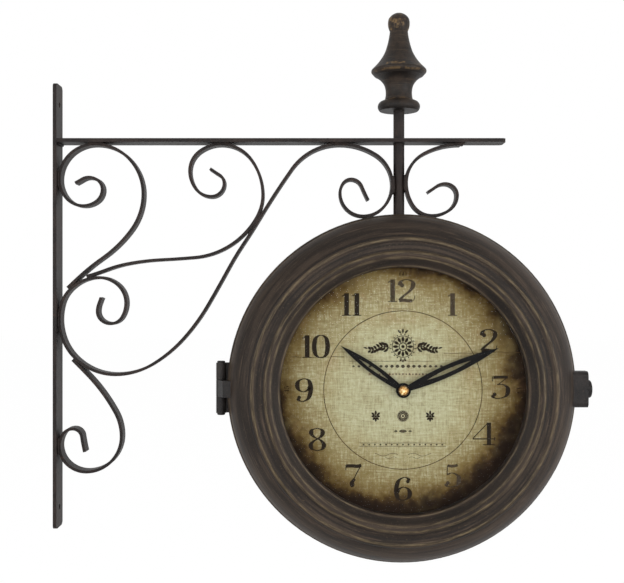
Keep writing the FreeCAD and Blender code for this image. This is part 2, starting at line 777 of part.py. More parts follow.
def make_hand(label, length, back, bore, place, clock_angle):
    """A leaf-shaped hand with a long slot down its middle and a round hub."""
    hand = new_body(label, spin=-clock_angle, **place)
    leaf = new_sketch(hand, "XZ_Plane", "leaf", lift=-back - size.hand_sheet)
    draw_outline(leaf, hand_outline(length))
    pad(hand, leaf, size.hand_sheet)
    hub = new_sketch(hand, "XZ_Plane", "hub", lift=-back - size.hand_sheet)
    draw_circle(hub, 0, 0, size.hand_hub_radius)
    pad(hand, hub, size.hand_sheet)
    slot = new_sketch(hand, "XZ_Plane", "slot", lift=-back - size.hand_sheet)
    draw_outline(slot, [(0, length * SLOT_FOOT, SLOT_BELLY), (0, length * SLOT_HEAD, SLOT_BELLY)])
    cut(hand, slot, size.hand_sheet, back=True)
    hole = new_sketch(hand, "XZ_Plane", "hole", lift=-back - size.hand_sheet)
    draw_circle(hole, 0, 0, bore)
    cut(hand, hole, size.hand_sheet, back=True)


def make_going_parts(side, place):
    """The hands, the tube and the arbor that they sit on, the nuts and the setting knob."""
    make_hand(f"{side}_hour_hand", size.hour_length, HOUR_BACK, size.hour_tube_radius, place,
              HOUR_ANGLE)
    make_hand(f"{side}_minute_hand", size.minute_length, MINUTE_BACK, size.arbor_radius, place,
              MINUTE_ANGLE)
    wheel_top = PAN_BACK - size.movement_wall - size.wheel_gap
    turned_body(f"{side}_hour_tube", [
        (HOUR_BORE, wheel_top - size.wheel_sheet), (size.wheel_radius, wheel_top - size.wheel_sheet),
        (size.wheel_radius, wheel_top), (size.hour_tube_radius, wheel_top),
        (size.hour_tube_radius, HOUR_FACE), (HOUR_BORE, HOUR_FACE)], **place)
    knob_top = CASE_BACK - size.cover_thick - size.wheel_gap
    knob_back = knob_top - size.knob_height
    tip = MINUTE_FACE + size.arbor_proud
    turned_body(f"{side}_minute_arbor", [
        (0, knob_back), (size.arbor_radius, knob_back), (size.arbor_radius, tip), (0, tip)], **place)
    knob = turned_body(f"{side}_setting_knob", [
        (size.arbor_radius, knob_back), (size.knob_radius - size.knob_edge, knob_back),
        (size.knob_radius, knob_back + size.knob_edge), (size.knob_radius, knob_top),
        (size.arbor_radius, knob_top)], **place)
    grip = new_sketch(knob, "XZ_Plane", "grip", lift=-knob_back)
    draw_circle(grip, size.knob_radius + size.knob_edge, 0, size.knob_grip)
    notch = cut(knob, grip, size.knob_height)
    ring = knob.newObject("PartDesign::PolarPattern", f"{knob.Name}_grips")
    ring.Originals = [notch]
    ring.Axis = (grip, ["N_Axis"])
    ring.Occurrences = KNOB_GRIPS
    knob.Tip = ring
    nut_top = MINUTE_FACE + size.hand_nut_height
    turned_body(f"{side}_hand_nut", [
        (size.arbor_radius, MINUTE_FACE), (size.hand_nut_radius, MINUTE_FACE),
        (size.hand_nut_radius, nut_top - size.hand_nut_dome, 0.35),
        (size.hand_nut_radius - size.hand_nut_dome, nut_top),
        (0, nut_top), (0, tip), (size.arbor_radius, tip)], **place)
    bush_nut = new_body(f"{side}_bush_nut", **place)
    flats = new_sketch(bush_nut, "XZ_Plane", "flats", lift=-BUSH_TOP)
    draw_outline(flats, hexagon(size.bush_nut_across))
    pad(bush_nut, flats, size.bush_nut_height)
    bore = new_sketch(bush_nut, "XZ_Plane", "bore", lift=-BUSH_TOP)
    draw_circle(bore, 0, 0, size.bush_radius)
    cut(bush_nut, bore, size.bush_nut_height, back=True)


def make_battery(side, place):
    """An AA cell lying across the bay under the wheels, with its button end."""
    end = size.battery_length / 2
    shoulder = end - size.battery_button
    radius = size.battery_radius
    edge = size.battery_edge
    button = size.battery_button_radius
    cell = new_body(f"{side}_battery", x=place["x"], z=place["z"] - size.battery_drop,
                    y=place["y"] + (BATTERY_DEPTH if place["turn"] == 0 else -BATTERY_DEPTH),
                    turn=place["turn"], spin=90)
    sketch = new_sketch(cell, "XZ_Plane", "profile")
    draw_outline(sketch, [
        (0, -end), (radius - edge, -end), (radius, -end + edge), (radius, shoulder - edge),
        (radius - edge, shoulder), (button, shoulder), (button, end), (0, end)])
    turn_profile(cell, sketch)


def make_clips(side, turn, shift):
    """Bent straps from the bezel's flange to the pan's back, and the screws through their feet."""
    foot = size.drum_half + size.bezel_sheet
    leg = SCREW_CIRCLE - size.screw_head_radius - size.clip_sheet * 1.5
    toe = SCREW_CIRCLE + size.clip_toe
    reach = GLASS_RADIUS - size.clip_grip
    corners = [(toe, foot), (toe, foot + size.clip_sheet), (leg + size.clip_sheet, foot + size.clip_sheet),
               (leg + size.clip_sheet, PAN_BACK), (reach, PAN_BACK), (reach, PAN_BACK - size.clip_sheet),
               (leg, PAN_BACK - size.clip_sheet), (leg, foot)]
    points = [Vector((x - SCREW_CIRCLE).value, y.value, -(size.clip_width / 2).value)
              for x, y in corners]
    strap = Part.Face(Part.makePolygon(points + points[:1])).extrude(Vector(0, 0, size.clip_width.value))
    strap = strap.cut(Part.makeCylinder(
        (size.screw_radius + size.screw_slack).value, (size.clip_sheet * 3).value,
        Vector(0, (foot - size.clip_sheet).value, 0), Vector(0, 1, 0)))
    spot = Placement(Vector(POST.value, shift, CASE_Z.value), facing(turn))
    new_group(f"{side}_dial_clips", on_screw_circle(strap, CLIP_ANGLES), spot)
    screw = screw_solid(1, foot + size.clip_sheet, size.drum_half)
    new_group(f"{side}_clip_screws", on_screw_circle(screw, CLIP_ANGLES), spot)


def make_side(side, turn, shift):
    place = {"x": POST, "y": shift, "z": CASE_Z, "turn": turn}
    bezel = make_bezel(side, place)
    flange_holes(bezel, "clip_holes", CLIP_ANGLES, -size.drum_half - size.bezel_sheet,
                 size.bezel_sheet * 2, back=True)
    if side == "rear":
        flange_holes(bezel, "screw_holes", SCREW_ANGLES, -size.drum_half - size.bezel_sheet,
                     size.bezel_sheet * 2, back=True)
    else:
        spindle_hole = new_sketch(bezel, "YZ_Plane", "spindle_hole")
        draw_circle(spindle_hole, LATCH_DEPTH, 0, size.spindle_radius + size.spindle_fit)
        cut(bezel, spindle_hole, BEZEL_RADIUS * 2)
    make_stack(side, place)
    make_movement(side, place)
    make_battery(side, place)
    make_going_parts(side, place)
    make_clips(side, turn, dim(shift).value)


# ---------------------------------------------------------------- hinge

def trim_to(body, name, corners):
    """Cut away all that lies inside a shape turned round the clock axis."""
    inside = new_sketch(body, "XY_Plane", name)
    draw_outline(inside, corners)
    groove = body.newObject("PartDesign::Groove", f"{inside.Name}_groove")
    groove.Profile = inside
    groove.ReferenceAxis = (inside, ["V_Axis"])
    groove.Angle = 360
    return groove


def rivet_places():
    """Depth and height of the rivets that hold the hinge to the drum."""
    height = size.hinge_height / 2 - size.rivet_inset
    return [(depth, up) for depth in (size.rivet_inset - size.hinge_wrap, size.rivet_inset / 2)
            for up in (-height, height)]


def make_hinge():
    """A leaf riveted to the drum, a leaf brazed to the bezel, their barrels and the pin."""
    reach = HINGE_REACH
    drum = size.drum_radius
    rim = BEZEL_RADIUS
    seam = size.drum_half
    strap_face = drum + size.strap_thick
    knuckle = size.knuckle_radius
    sunk = drum - knuckle
    leaf = plate_body("hinge_drum_leaf", "XY_Plane", [
        (sunk, -size.hinge_wrap), (strap_face, -size.hinge_wrap), (strap_face, seam - knuckle * 2.5),
        (reach - knuckle * 0.25, seam - knuckle * 0.95), (reach - knuckle * 0.95, seam - knuckle * 0.3),
        (strap_face + knuckle * 0.2, seam - knuckle * 0.4), (sunk, seam - knuckle * 1.5)],
        size.hinge_height, middle=True, x=POST, z=CASE_Z, turn=180)
    barrel = new_sketch(leaf, "XY_Plane", "barrel")
    draw_circle(barrel, reach, size.drum_half, size.knuckle_radius)
    pad(leaf, barrel, size.hinge_height, middle=True)
    notch = new_sketch(leaf, "XY_Plane", "notch")
    draw_circle(notch, reach, size.drum_half, size.knuckle_radius + size.knuckle_gap)
    cut(leaf, notch, size.door_knuckle + size.knuckle_gap * 2, both=True)
    bore = new_sketch(leaf, "XY_Plane", "bore")
    draw_circle(bore, reach, size.drum_half, size.pin_radius + size.pin_fit)
    cut(leaf, bore, size.hinge_height * 2, both=True)
    rivet_holes = new_sketch(leaf, "YZ_Plane", "rivet_holes")
    for along, up in rivet_places():
        draw_circle(rivet_holes, along, up, size.rivet_radius)
    cut(leaf, rivet_holes, drum * 2, back=True)
    trim_to(leaf, "drum_side", [(0, -seam * 2), (drum, -seam * 2), (drum, seam * 2), (0, seam * 2)])

    door_depth = seam - size.door_gap
    door = plate_body("hinge_door_leaf", "XY_Plane", [
        (reach - knuckle * 0.92, door_depth + knuckle * 0.22), (rim - knuckle, seam + knuckle * 1.25),
        (rim - knuckle, seam + knuckle * 3.5), (rim + knuckle * 0.75, seam + knuckle * 3.1),
        (reach + knuckle * 0.7, door_depth + knuckle * 0.68)],
        size.door_knuckle, middle=True, x=POST, y=-size.door_gap, z=CASE_Z, turn=180)
    trim_to(door, "bezel_side", bezel_face() + [(size.opening_radius, seam)])
    barrel = new_sketch(door, "XY_Plane", "barrel")
    draw_circle(barrel, reach, door_depth, size.knuckle_radius)
    pad(door, barrel, size.door_knuckle, middle=True)
    bore = new_sketch(door, "XY_Plane", "bore")
    draw_circle(bore, reach, door_depth, size.pin_radius + size.pin_fit)
    cut(door, bore, size.door_knuckle * 2, both=True)

    end = size.hinge_height / 2
    head = end + size.pin_head_height
    edge = size.pin_head_edge
    turned_body("hinge_pin", [
        (0, -head), (size.pin_head_radius - edge, -head), (size.pin_head_radius, -head + edge),
        (size.pin_head_radius, -end), (size.pin_radius, -end), (size.pin_radius, end),
        (size.pin_head_radius, end), (size.pin_head_radius, head - edge),
        (size.pin_head_radius - edge, head), (0, head)],
        role="XZ_Plane", x=POST - reach, y=-size.drum_half, z=CASE_Z)

    rivets = []
    for along, up in rivet_places():
        inner = math.sqrt(DRUM_INSIDE.value ** 2 - up.value ** 2)
        seat = Vector(strap_face.value, along.value, up.value)
        shank = Part.makeCylinder(size.rivet_radius.value, strap_face.value - inner, seat, Vector(-1, 0, 0))
        dome = Part.makeCone(size.rivet_radius.value * 2, size.rivet_radius.value,
                             size.rivet_radius.value, seat, Vector(1, 0, 0))
        rivets.append(dome.fuse(shank))
    new_group("hinge_rivets", rivets, Placement(Vector(POST.value, 0, CASE_Z.value), facing(180)))


# ---------------------------------------------------------------- latch

HOOK_OUT = size.drum_radius - size.drum_lip - size.hook_clear
HOOK_IN = HOOK_OUT - size.hook_sheet
HOOK_START = math.radians(40)
HOOK_STOP = math.radians(95)


def make_latch():
    """A boss on the bezel, a knob with its spindle, a hook inside and the pin it catches."""
    half_width = size.latch_width / 2
    half_height = size.latch_height / 2
    spindle_bore = size.spindle_radius + size.spindle_fit
    door_y = -size.door_gap
    boss = plate_body("latch_plate", "YZ_Plane", rounded_box(
        LATCH_DEPTH - half_width, LATCH_DEPTH + half_width, -half_height, half_height,
        size.latch_corner), LATCH_REACH - BEZEL_RADIUS + size.latch_root, lift=-LATCH_REACH,
        x=POST, y=door_y, z=CASE_Z, turn=180)
    trim_to(boss, "bezel_side", bezel_face() + [(size.opening_radius, size.drum_half)])
    hole = new_sketch(boss, "YZ_Plane", "spindle_hole")
    draw_circle(hole, LATCH_DEPTH, 0, spindle_bore)
    cut(boss, hole, BEZEL_RADIUS * 2)

    knob_seat = LATCH_REACH + size.knuckle_gap
    knob_top = knob_seat + size.latch_knob_height
    knob_radius = size.latch_knob_radius
    knob_place = {"x": POST, "y": -LATCH_DEPTH - size.door_gap, "z": CASE_Z, "spin": 90}
    turned_body("latch_knob", [
        (0, HOOK_IN), (size.spindle_radius, HOOK_IN), (size.spindle_radius, knob_seat),
        (knob_radius, knob_seat), (knob_radius, knob_top - size.latch_knob_edge, 0.3),
        (knob_radius - size.latch_knob_bevel, knob_top),
        (0, knob_top)], role="XZ_Plane", **knob_place)

    hook = new_body("latch_hook", x=POST + HOOK_IN, y=-LATCH_DEPTH - size.door_gap, z=CASE_Z)
    inner = size.hook_reach
    outer = inner + size.hook_width
    start = HOOK_START
    stop = HOOK_STOP
    bend = math.tan((stop - start) / 4)
    arc = new_sketch(hook, "YZ_Plane", "claw")
    draw_outline(arc, [
        (outer * math.cos(start), outer * math.sin(start), bend),
        (outer * math.cos(stop), outer * math.sin(stop)),
        (inner * math.cos(stop), inner * math.sin(stop), -bend),
        (inner * math.cos(start), inner * math.sin(start))])
    pad(hook, arc, size.hook_sheet)
    arm = new_sketch(hook, "YZ_Plane", "arm")
    width = size.hook_width
    draw_outline(arm, [(-width * 1.2, 0), (width * 1.2, 0), (width * 0.64, inner + width * 0.4),
                       (-width * 0.52, inner + width * 0.4)])
    pad(hook, arm, size.hook_sheet)
    hub = new_sketch(hook, "YZ_Plane", "hub")
    draw_circle(hub, 0, 0, size.spindle_radius * 2)
    pad(hook, hub, size.hook_sheet)
    hook_hole = new_sketch(hook, "YZ_Plane", "hole")
    draw_circle(hook_hole, 0, 0, size.spindle_radius)
    cut(hook, hook_hole, back=True)

    pin = size.keeper_radius
    foot = HOOK_IN - size.keeper_proud
    turned_body("latch_keeper", [
        (0, foot), (pin, foot), (pin, size.drum_radius),
        (pin * 2, size.drum_radius), (pin, size.drum_radius + pin), (0, size.drum_radius + pin)],
        role="XZ_Plane", x=POST, y=-KEEPER_DEPTH, z=CASE_Z, spin=90)


# ---------------------------------------------------------------- build, test and write

make_wall_strip()
make_arm_bar()
make_scrolls()
make_post()
make_finial()
make_post_fixings()
make_drum()
make_side("front", 180, -size.door_gap)
make_side("rear", 0, 0)
make_rear_bezel_screws()
make_hinge()
make_latch()
doc.recompute()
for item in doc.Objects:
    if "Invalid" in item.State or "Error" in item.State:
        raise RuntimeError(f"{item.Name} failed: {item.State}")
for sub_part in sub_parts:
    if sub_part.Shape.isNull() or not sub_part.Shape.isValid():
        raise RuntimeError(f"{sub_part.Label} is not a sound solid")
os.makedirs("parts", exist_ok=True)
for sub_part in sub_parts:
    sub_part.Shape.exportStep(f"parts/{sub_part.Label}.step")
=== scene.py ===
import json
import math

import bmesh
import bpy
from mathutils import Matrix, Vector

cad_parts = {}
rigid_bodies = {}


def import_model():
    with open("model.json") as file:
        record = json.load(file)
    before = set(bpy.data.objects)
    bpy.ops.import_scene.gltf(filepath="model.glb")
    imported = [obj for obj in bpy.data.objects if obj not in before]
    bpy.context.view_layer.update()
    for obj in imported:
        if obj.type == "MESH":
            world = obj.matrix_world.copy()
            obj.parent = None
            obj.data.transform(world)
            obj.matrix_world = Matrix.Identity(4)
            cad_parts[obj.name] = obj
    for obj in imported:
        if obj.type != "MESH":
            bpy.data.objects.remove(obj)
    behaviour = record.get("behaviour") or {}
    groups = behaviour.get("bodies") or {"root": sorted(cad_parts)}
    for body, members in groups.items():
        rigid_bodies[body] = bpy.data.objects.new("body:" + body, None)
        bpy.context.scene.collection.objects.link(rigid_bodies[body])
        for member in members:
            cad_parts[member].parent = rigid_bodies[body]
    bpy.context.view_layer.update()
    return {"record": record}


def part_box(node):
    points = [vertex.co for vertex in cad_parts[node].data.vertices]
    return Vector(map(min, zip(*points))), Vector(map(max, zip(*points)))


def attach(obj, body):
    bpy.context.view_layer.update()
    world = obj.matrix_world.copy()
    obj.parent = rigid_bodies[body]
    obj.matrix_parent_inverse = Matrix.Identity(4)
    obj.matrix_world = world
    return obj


# The double sided station clock, dressed. Metres: the wall is at x = 0, the arm runs along +X, the
# front dial looks along -Y and the rear dial along +Y.

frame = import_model()

MM = 0.001
SIDES = ("front", "rear")
CARRIER = {"front": "front_door", "rear": "bracket_and_drum"}
CENTRE = Vector((0.2812, 0.0, -0.0654))         # the middle of both dials, on the clock's axis
FINIAL_FOOT = Vector((0.2812, 0.0, 0.1596))     # the underside of the finial, on the post's axis
WHITE = (1.0, 1.0, 1.0, 1.0)


# ---------------------------------------------------------------- shader kit

class Wire:
    """A node's socket. Arithmetic on it adds Math nodes, and node() adds a node of any type."""

    def __init__(self, tree, socket=None):
        self.tree = tree
        self.socket = socket

    def node(self, kind, settings=None, inputs=None, out=0):
        """A new node with its settings, its inputs linked or set, as a wire from one of its outputs."""
        added = self.tree.nodes.new(kind)
        for name, value in (settings or {}).items():
            if name == "stops":
                set_stops(added.color_ramp, value)
            else:
                setattr(added, name, value)
        for key, value in (inputs or {}).items():
            if isinstance(value, Wire):
                self.tree.links.new(value.socket, added.inputs[key])
            else:
                added.inputs[key].default_value = value
        return Wire(self.tree, added.outputs[out]) if added.outputs else added

    def math(self, operation, *values):
        """A Math node on values that are wires or numbers."""
        return self.node("ShaderNodeMath", {"operation": operation}, dict(enumerate(values)))

    def __add__(self, other):
        return self.math("ADD", self, other)

    def __radd__(self, other):
        return self.math("ADD", other, self)

    def __sub__(self, other):
        return self.math("SUBTRACT", self, other)

    def __rsub__(self, other):
        return self.math("SUBTRACT", other, self)

    def __mul__(self, other):
        return self.math("MULTIPLY", self, other)

    def __truediv__(self, other):
        return self.math("DIVIDE", self, other)

    def __pow__(self, other):
        return self.math("POWER", self, other)

    def __abs__(self):
        return self.math("ABSOLUTE", self)

    def rise(self, low, high):
        """0 below low, 1 above high, and a soft step between; falls where low is above high."""
        return self.node("ShaderNodeMapRange", {"interpolation_type": "SMOOTHSTEP"},
                         {"Value": self, "From Min": low, "From Max": high})

    def ridge(self, middle, width):
        """1 at the middle, falling softly to 0 at width on either side."""
        return abs(self - middle).rise(width, 0.0)

    def noise(self, scale, detail=3.0, rough=0.55, warp=0.0, turn=None):
        """Noise over this vector, from about 0 to 1."""
        inputs = {"Vector": self, "Scale": scale, "Detail": detail, "Roughness": rough,
                  "Distortion": warp}
        if turn is not None:
            inputs["W"] = turn
        return self.node("ShaderNodeTexNoise", {"noise_dimensions": "3D" if turn is None else "4D"},
                         inputs)

    def spots(self, scale, size):
        """1 inside small round spots, 0 between them."""
        near = self.node("ShaderNodeTexVoronoi", None, {"Vector": self, "Scale": scale})
        return near.rise(size, size * 0.4)

    def over(self, base, top):
        """The base colour with the top colour laid over it where this mask is 1."""
        factor, first, second, mixed = 0, 6, 7, 2       # the Mix node's sockets for colours
        return self.node("ShaderNodeMix", {"data_type": "RGBA"},
                         {factor: self, first: base, second: top}, out=mixed)

    def ramp(self, *stops):
        """A colour for each level of this number, through stops of a place and a colour."""
        return self.node("ShaderNodeValToRGB", {"stops": stops}, {0: self})

    def parts(self):
        """This vector's three numbers."""
        return [self.node("ShaderNodeSeparateXYZ", None, {0: self}, out=axis) for axis in range(3)]


def set_stops(ramp, stops):
    """Colour stops on a ramp: a place from 0 to 1 and a colour each."""
    while len(ramp.elements) < len(stops):
        ramp.elements.new(1.0)
    for element, (place, colour) in zip(ramp.elements, stops):
        element.position = place
        element.color = colour


def tint(red, green, blue):
    """A colour given as it is seen on a screen, 0 to 255."""
    def linear(level):
        level = level / 255.0
        return level / 12.92 if level <= 0.04045 else ((level + 0.055) / 1.055) ** 2.4
    return (linear(red), linear(green), linear(blue), 1.0)


def new_finish(name):
    """A material with an empty tree, and a wire to build it with."""
    finish = bpy.data.materials.new(name)
    finish.use_nodes = True
    finish.node_tree.nodes.clear()
    return finish, Wire(finish.node_tree)


def close_finish(paint, shader):
    """Link a shader to the material's output."""
    output = paint.tree.nodes.new("ShaderNodeOutputMaterial")
    paint.tree.links.new(shader.socket, output.inputs["Surface"])


def surface(paint, color, roughness, relief=None, relief_depth=0.0001, metallic=0.0, **constants):
    """A Principled shader; relief is a height from 0 to 1 that a Bump node turns into its normal."""
    inputs = {"Base Color": color, "Roughness": roughness, "Metallic": metallic}
    inputs.update(constants)
    if relief is not None:
        inputs["Normal"] = paint.node("ShaderNodeBump", None, {
            "Strength": 1.0, "Distance": relief_depth, "Height": relief})
    return paint.node("ShaderNodeBsdfPrincipled", None, inputs)


def place_mm(paint, around=Vector((0, 0, 0))):
    """Where the surface is, as a vector in mm from a point."""
    spot = paint.node("ShaderNodeTexCoord", out=3)
    spot = paint.node("ShaderNodeVectorMath", {"operation": "SUBTRACT"}, {0: spot, 1: around})
    return paint.node("ShaderNodeVectorMath", {"operation": "SCALE"}, {0: spot, "Scale": 1.0 / MM})


def joined(paint, x, y, z):
    """A vector from three numbers."""
    return paint.node("ShaderNodeCombineXYZ", None, {0: x, 1: y, 2: z})


def to_the_right(x, y):
    """How far right of the clock's axis the surface is, as the reader of its own side sees it."""
    front = y.rise(1.0, -1.0)
    return x * (front * 2.0 - 1.0)


# ---------------------------------------------------------------- finishes

# Lengths in the finishes are mm; noise scales are turns per mm.
SATIN = {"Specular IOR Level": 0.18}        # how far a coat of paint shines
DULL = {"Specular IOR Level": 0.1}          # the same for matte paint, ink and paper

# Rings of the turned case: radius, half width and strength. The first table is the rubbed ridges, tan partly
# from wear and partly as a painted highlight; the second is painted shade in the grooves.
RUBBED_HIGHLIGHT_RINGS = ((117.6, 1.8, 1.0), (107.4, 1.8, 1.0), (103.2, 1.4, 0.8), (96.8, 0.9, 0.7), (137.0, 1.2, 0.4))
GROOVE_SHADE_RINGS = ((120.3, 1.3, 1.0), (113.4, 1.4, 1.0), (109.8, 1.0, 1.0))

# Turned edges of the finial that lose their paint: height over its foot, half width and strength.
RUBBED_EDGES = ((35.6, 2.0, 1.0), (31.0, 1.5, 0.5), (8.6, 1.5, 0.7), (66.3, 1.3, 1.0))


def ridges(level, bands):
    """The sum of soft bands of a level: the middle, half width and strength of each."""
    total = 0.0
    for middle, width, strength in bands:
        total = total + level.ridge(middle, width) * strength
    return total


def aged_paint(name, dark, mid, rust, rough=0.52):
    """Brown-black paint over iron: mottled, with rust specks and a fine grain."""
    finish, paint = new_finish(name)
    spot = place_mm(paint)
    cloud = spot.noise(0.05, 4.0, 0.6)
    grain = spot.noise(0.9, 3.0, 0.6)
    color = cloud.rise(0.38, 0.66).over(dark, mid)
    color = (grain.rise(0.58, 0.74) * 0.55).over(color, rust)
    color = (spot.noise(0.22, 5.0, 0.7).rise(0.6, 0.72) * 0.5).over(color, rust)
    relief = grain * 0.6 + spot.noise(3.0, 2.0) * 0.4
    close_finish(paint, surface(paint, color, rough + cloud * 0.2 - 0.1, relief, 0.00025, **SATIN))
    return finish


def ringed_paint():
    """The case: brown paint brushed round the clock, rubbed to bronze along the ridges with a painted
    highlight there, and painted shade in its grooves and on the inner slope by the glass.
    """
    finish, paint = new_finish("case_paint")
    spot = place_mm(paint, CENTRE)
    x, y, z = spot.parts()
    reach = (x * x + z * z) ** 0.5
    depth = abs(y)
    around = joined(paint, x / reach * 5.0, z / reach * 5.0, reach * 0.7)
    streak = around.noise(1.0, 5.0, 0.65, turn=depth * 0.7)
    long_around = joined(paint, x / reach * 2.0, z / reach * 2.0, reach * 0.16)
    broad = long_around.noise(1.0, 3.0, 0.6, turn=depth * 0.16)
    grain = spot.noise(1.1, 2.0)
    color = broad.rise(0.36, 0.66).over(tint(32, 25, 20), tint(60, 50, 42))
    color = (streak.rise(0.53, 0.72) * 0.6).over(color, tint(96, 81, 68))
    color = (streak.rise(0.45, 0.3) * 0.7).over(color, tint(24, 20, 18))
    # Tan along the ridges: rubbed paint, and a painted highlight where the ridges catch the light.
    worn_and_highlight = ridges(reach, RUBBED_HIGHLIGHT_RINGS) * (around.noise(1.6, 4.0, 0.7).rise(0.4, 0.66) * 0.8 + 0.08)
    color = (worn_and_highlight * 0.75).over(color, tint(128, 112, 84))
    # Painted shade: darker in the grooves and across the recessed inner slope by the glass.
    groove_shade = ridges(reach, GROOVE_SHADE_RINGS) + reach.rise(103.6, 100.6) * reach.rise(97.4, 98.6) * 0.8
    color = (groove_shade * 0.75).over(color, tint(18, 15, 13))
    color = (grain.rise(0.6, 0.75) * 0.3).over(color, tint(112, 94, 72))
    relief = streak * 0.6 + grain * 0.4
    rough = 0.46 + broad * 0.2 - worn_and_highlight * 0.12
    close_finish(paint, surface(paint, color, rough, relief, 0.0002, **SATIN))
    return finish


def finial_paint():
    """Brown paint with a gold rub on the ball and the turned edges, and painted shade under the lip and at
    the foot.
    """
    finish, paint = new_finish("finial_paint")
    spot = place_mm(paint, FINIAL_FOOT)
    x, y, z = spot.parts()
    cloud = spot.noise(0.09, 4.0, 0.65)
    grain = spot.noise(0.8, 3.0, 0.6)
    turned = joined(paint, x * 0.06, y * 0.06, z * 1.5).noise(1.0, 4.0, 0.6)
    color = cloud.rise(0.35, 0.65).over(tint(26, 22, 19), tint(50, 41, 34))
    color = (turned.rise(0.56, 0.72) * 0.5).over(color, tint(84, 70, 56))
    color = (turned.rise(0.44, 0.3) * 0.6).over(color, tint(18, 15, 13))
    # Painted shade under the turned lip and low around the foot.
    painted_shade_under = z.rise(24.0, 27.0) * z.rise(31.0, 29.5) + z.rise(6.5, 2.0)
    color = (painted_shade_under * 0.65).over(color, tint(16, 13, 12))
    patch = spot.noise(0.13, 3.0, 0.7).rise(0.46, 0.62)
    gold = (ridges(z, RUBBED_EDGES) * 0.6 + z.rise(63.8, 70.5) * 0.5) * patch + grain.rise(0.62, 0.78) * 0.16
    color = gold.over(color, tint(146, 118, 80))
    relief = grain * 0.4 + turned * 0.4 + spot.noise(2.5, 2.0) * 0.2
    close_finish(paint, surface(paint, color, 0.42 + cloud * 0.15, relief, 0.0003, **SATIN))
    return finish


def hand_paint():
    """Matte black, faintly brushed and dusty."""
    finish, paint = new_finish("hand_paint")
    spot = place_mm(paint)
    grain = spot.noise(1.6, 4.0, 0.6)
    color = grain.rise(0.5, 0.8).over(tint(13, 12, 12), tint(32, 30, 29))
    close_finish(paint, surface(paint, color, 0.5 + grain * 0.2, grain, 0.00008, **DULL))
    return finish


def dial_paper():
    """Aged printed paper: green cream in the middle, ochre further out, burnt at the rim, with painted shade
    of the bezel's lip at the rim and towards the lower right, and paler at the top as a painted reflection.
    """
    finish, paint = new_finish("dial_paper")
    spot = place_mm(paint, CENTRE)
    x, y, z = spot.parts()
    reach = (x * x + z * z) ** 0.5
    ragged = (spot.noise(0.035, 5.0, 0.62) - 0.5) * 34.0 + (spot.noise(0.22, 2.0, 0.55) - 0.5) * 11.0
    # Painted shade and light: darker towards the lower right, as in the shadow of the bezel's lip, and paler
    # towards the top as a painted reflection on the glass.
    lean = to_the_right(x, y) * 0.045 - z * 0.06
    age_and_shade = (reach + ragged + lean) / 100.0
    # From the middle out: aged paper, then near-black at the rim, partly burnt and partly painted shade under
    # the lip.
    color = age_and_shade.ramp((0.0, tint(181, 178, 146)), (0.42, tint(175, 169, 134)),
                     (0.56, tint(163, 152, 114)), (0.67, tint(151, 139, 102)), (0.76, tint(135, 119, 80)),
                     (0.83, tint(114, 95, 56)), (0.89, tint(84, 65, 34)), (0.94, tint(50, 36, 22)),
                     (1.0, tint(30, 21, 15)))
    stain = spot.noise(0.022, 4.0, 0.6).rise(0.5, 0.7)
    color = (stain * 0.45).over(color, tint(138, 122, 82))
    warm = spot.noise(0.03, 3.0, 0.5, warp=1.5).rise(0.55, 0.75)
    color = (warm * 0.25).over(color, tint(150, 118, 84))
    weave = joined(paint, x * 0.11, y, z * 0.95).noise(1.0, 4.0, 0.62)
    weave = weave + joined(paint, x * 0.95, y, z * 0.11).noise(1.0, 4.0, 0.62)
    mottle = spot.noise(0.42, 5.0, 0.72)
    pale = age_and_shade.rise(0.92, 0.68)
    color = (weave.rise(1.0, 1.26) * (pale * 0.8 + 0.2) * 0.42).over(color, tint(104, 88, 54))
    color = (weave.rise(1.0, 0.76) * pale * 0.36).over(color, tint(204, 203, 174))
    color = (mottle.rise(0.52, 0.72) * pale * 0.4).over(color, tint(110, 98, 64))
    color = (mottle.rise(0.48, 0.3) * pale * 0.35).over(color, tint(206, 204, 172))
    fleck = spot.spots(0.13, 0.09) * spot.noise(0.05, 2.0).rise(0.48, 0.6)
    color = (fleck * 0.55).over(color, tint(78, 60, 38))
    fine = spot.spots(0.42, 0.1) * spot.noise(0.11, 2.0).rise(0.5, 0.62)
    color = (fine * 0.4).over(color, tint(92, 76, 48))
    # Dark at the rim: burnt paper, with painted shade of the bezel's lip over it.
    singe_and_lip_shade = (reach + ragged * 0.5 + lean).rise(91.0, 99.0)
    color = (singe_and_lip_shade * 0.7).over(color, tint(36, 24, 17))
    close_finish(paint, surface(paint, color, 0.66 + weave * 0.05, weave, 0.00006, **DULL))
    return finish


def printed(name, ink, strength):
    """Ink that has worn thin in places on the paper."""
    finish, paint = new_finish(name)
    spot = place_mm(paint)
    wear = spot.noise(0.7, 4.0, 0.7).rise(0.26, 0.5)
    fade = spot.noise(0.07, 2.0).rise(0.3, 0.62)
    shade = (spot.noise(1.4, 2.0) * 0.3).over(ink, tint(70, 56, 38))
    bare = paint.node("ShaderNodeBsdfTransparent")
    inked = surface(paint, shade, 0.6, **DULL)
    cover = wear * 0.3 + fade * 0.25 + (strength - 0.55)
    close_finish(paint, paint.node("ShaderNodeMixShader", None, {0: cover, 1: bare, 2: inked}))
    return finish


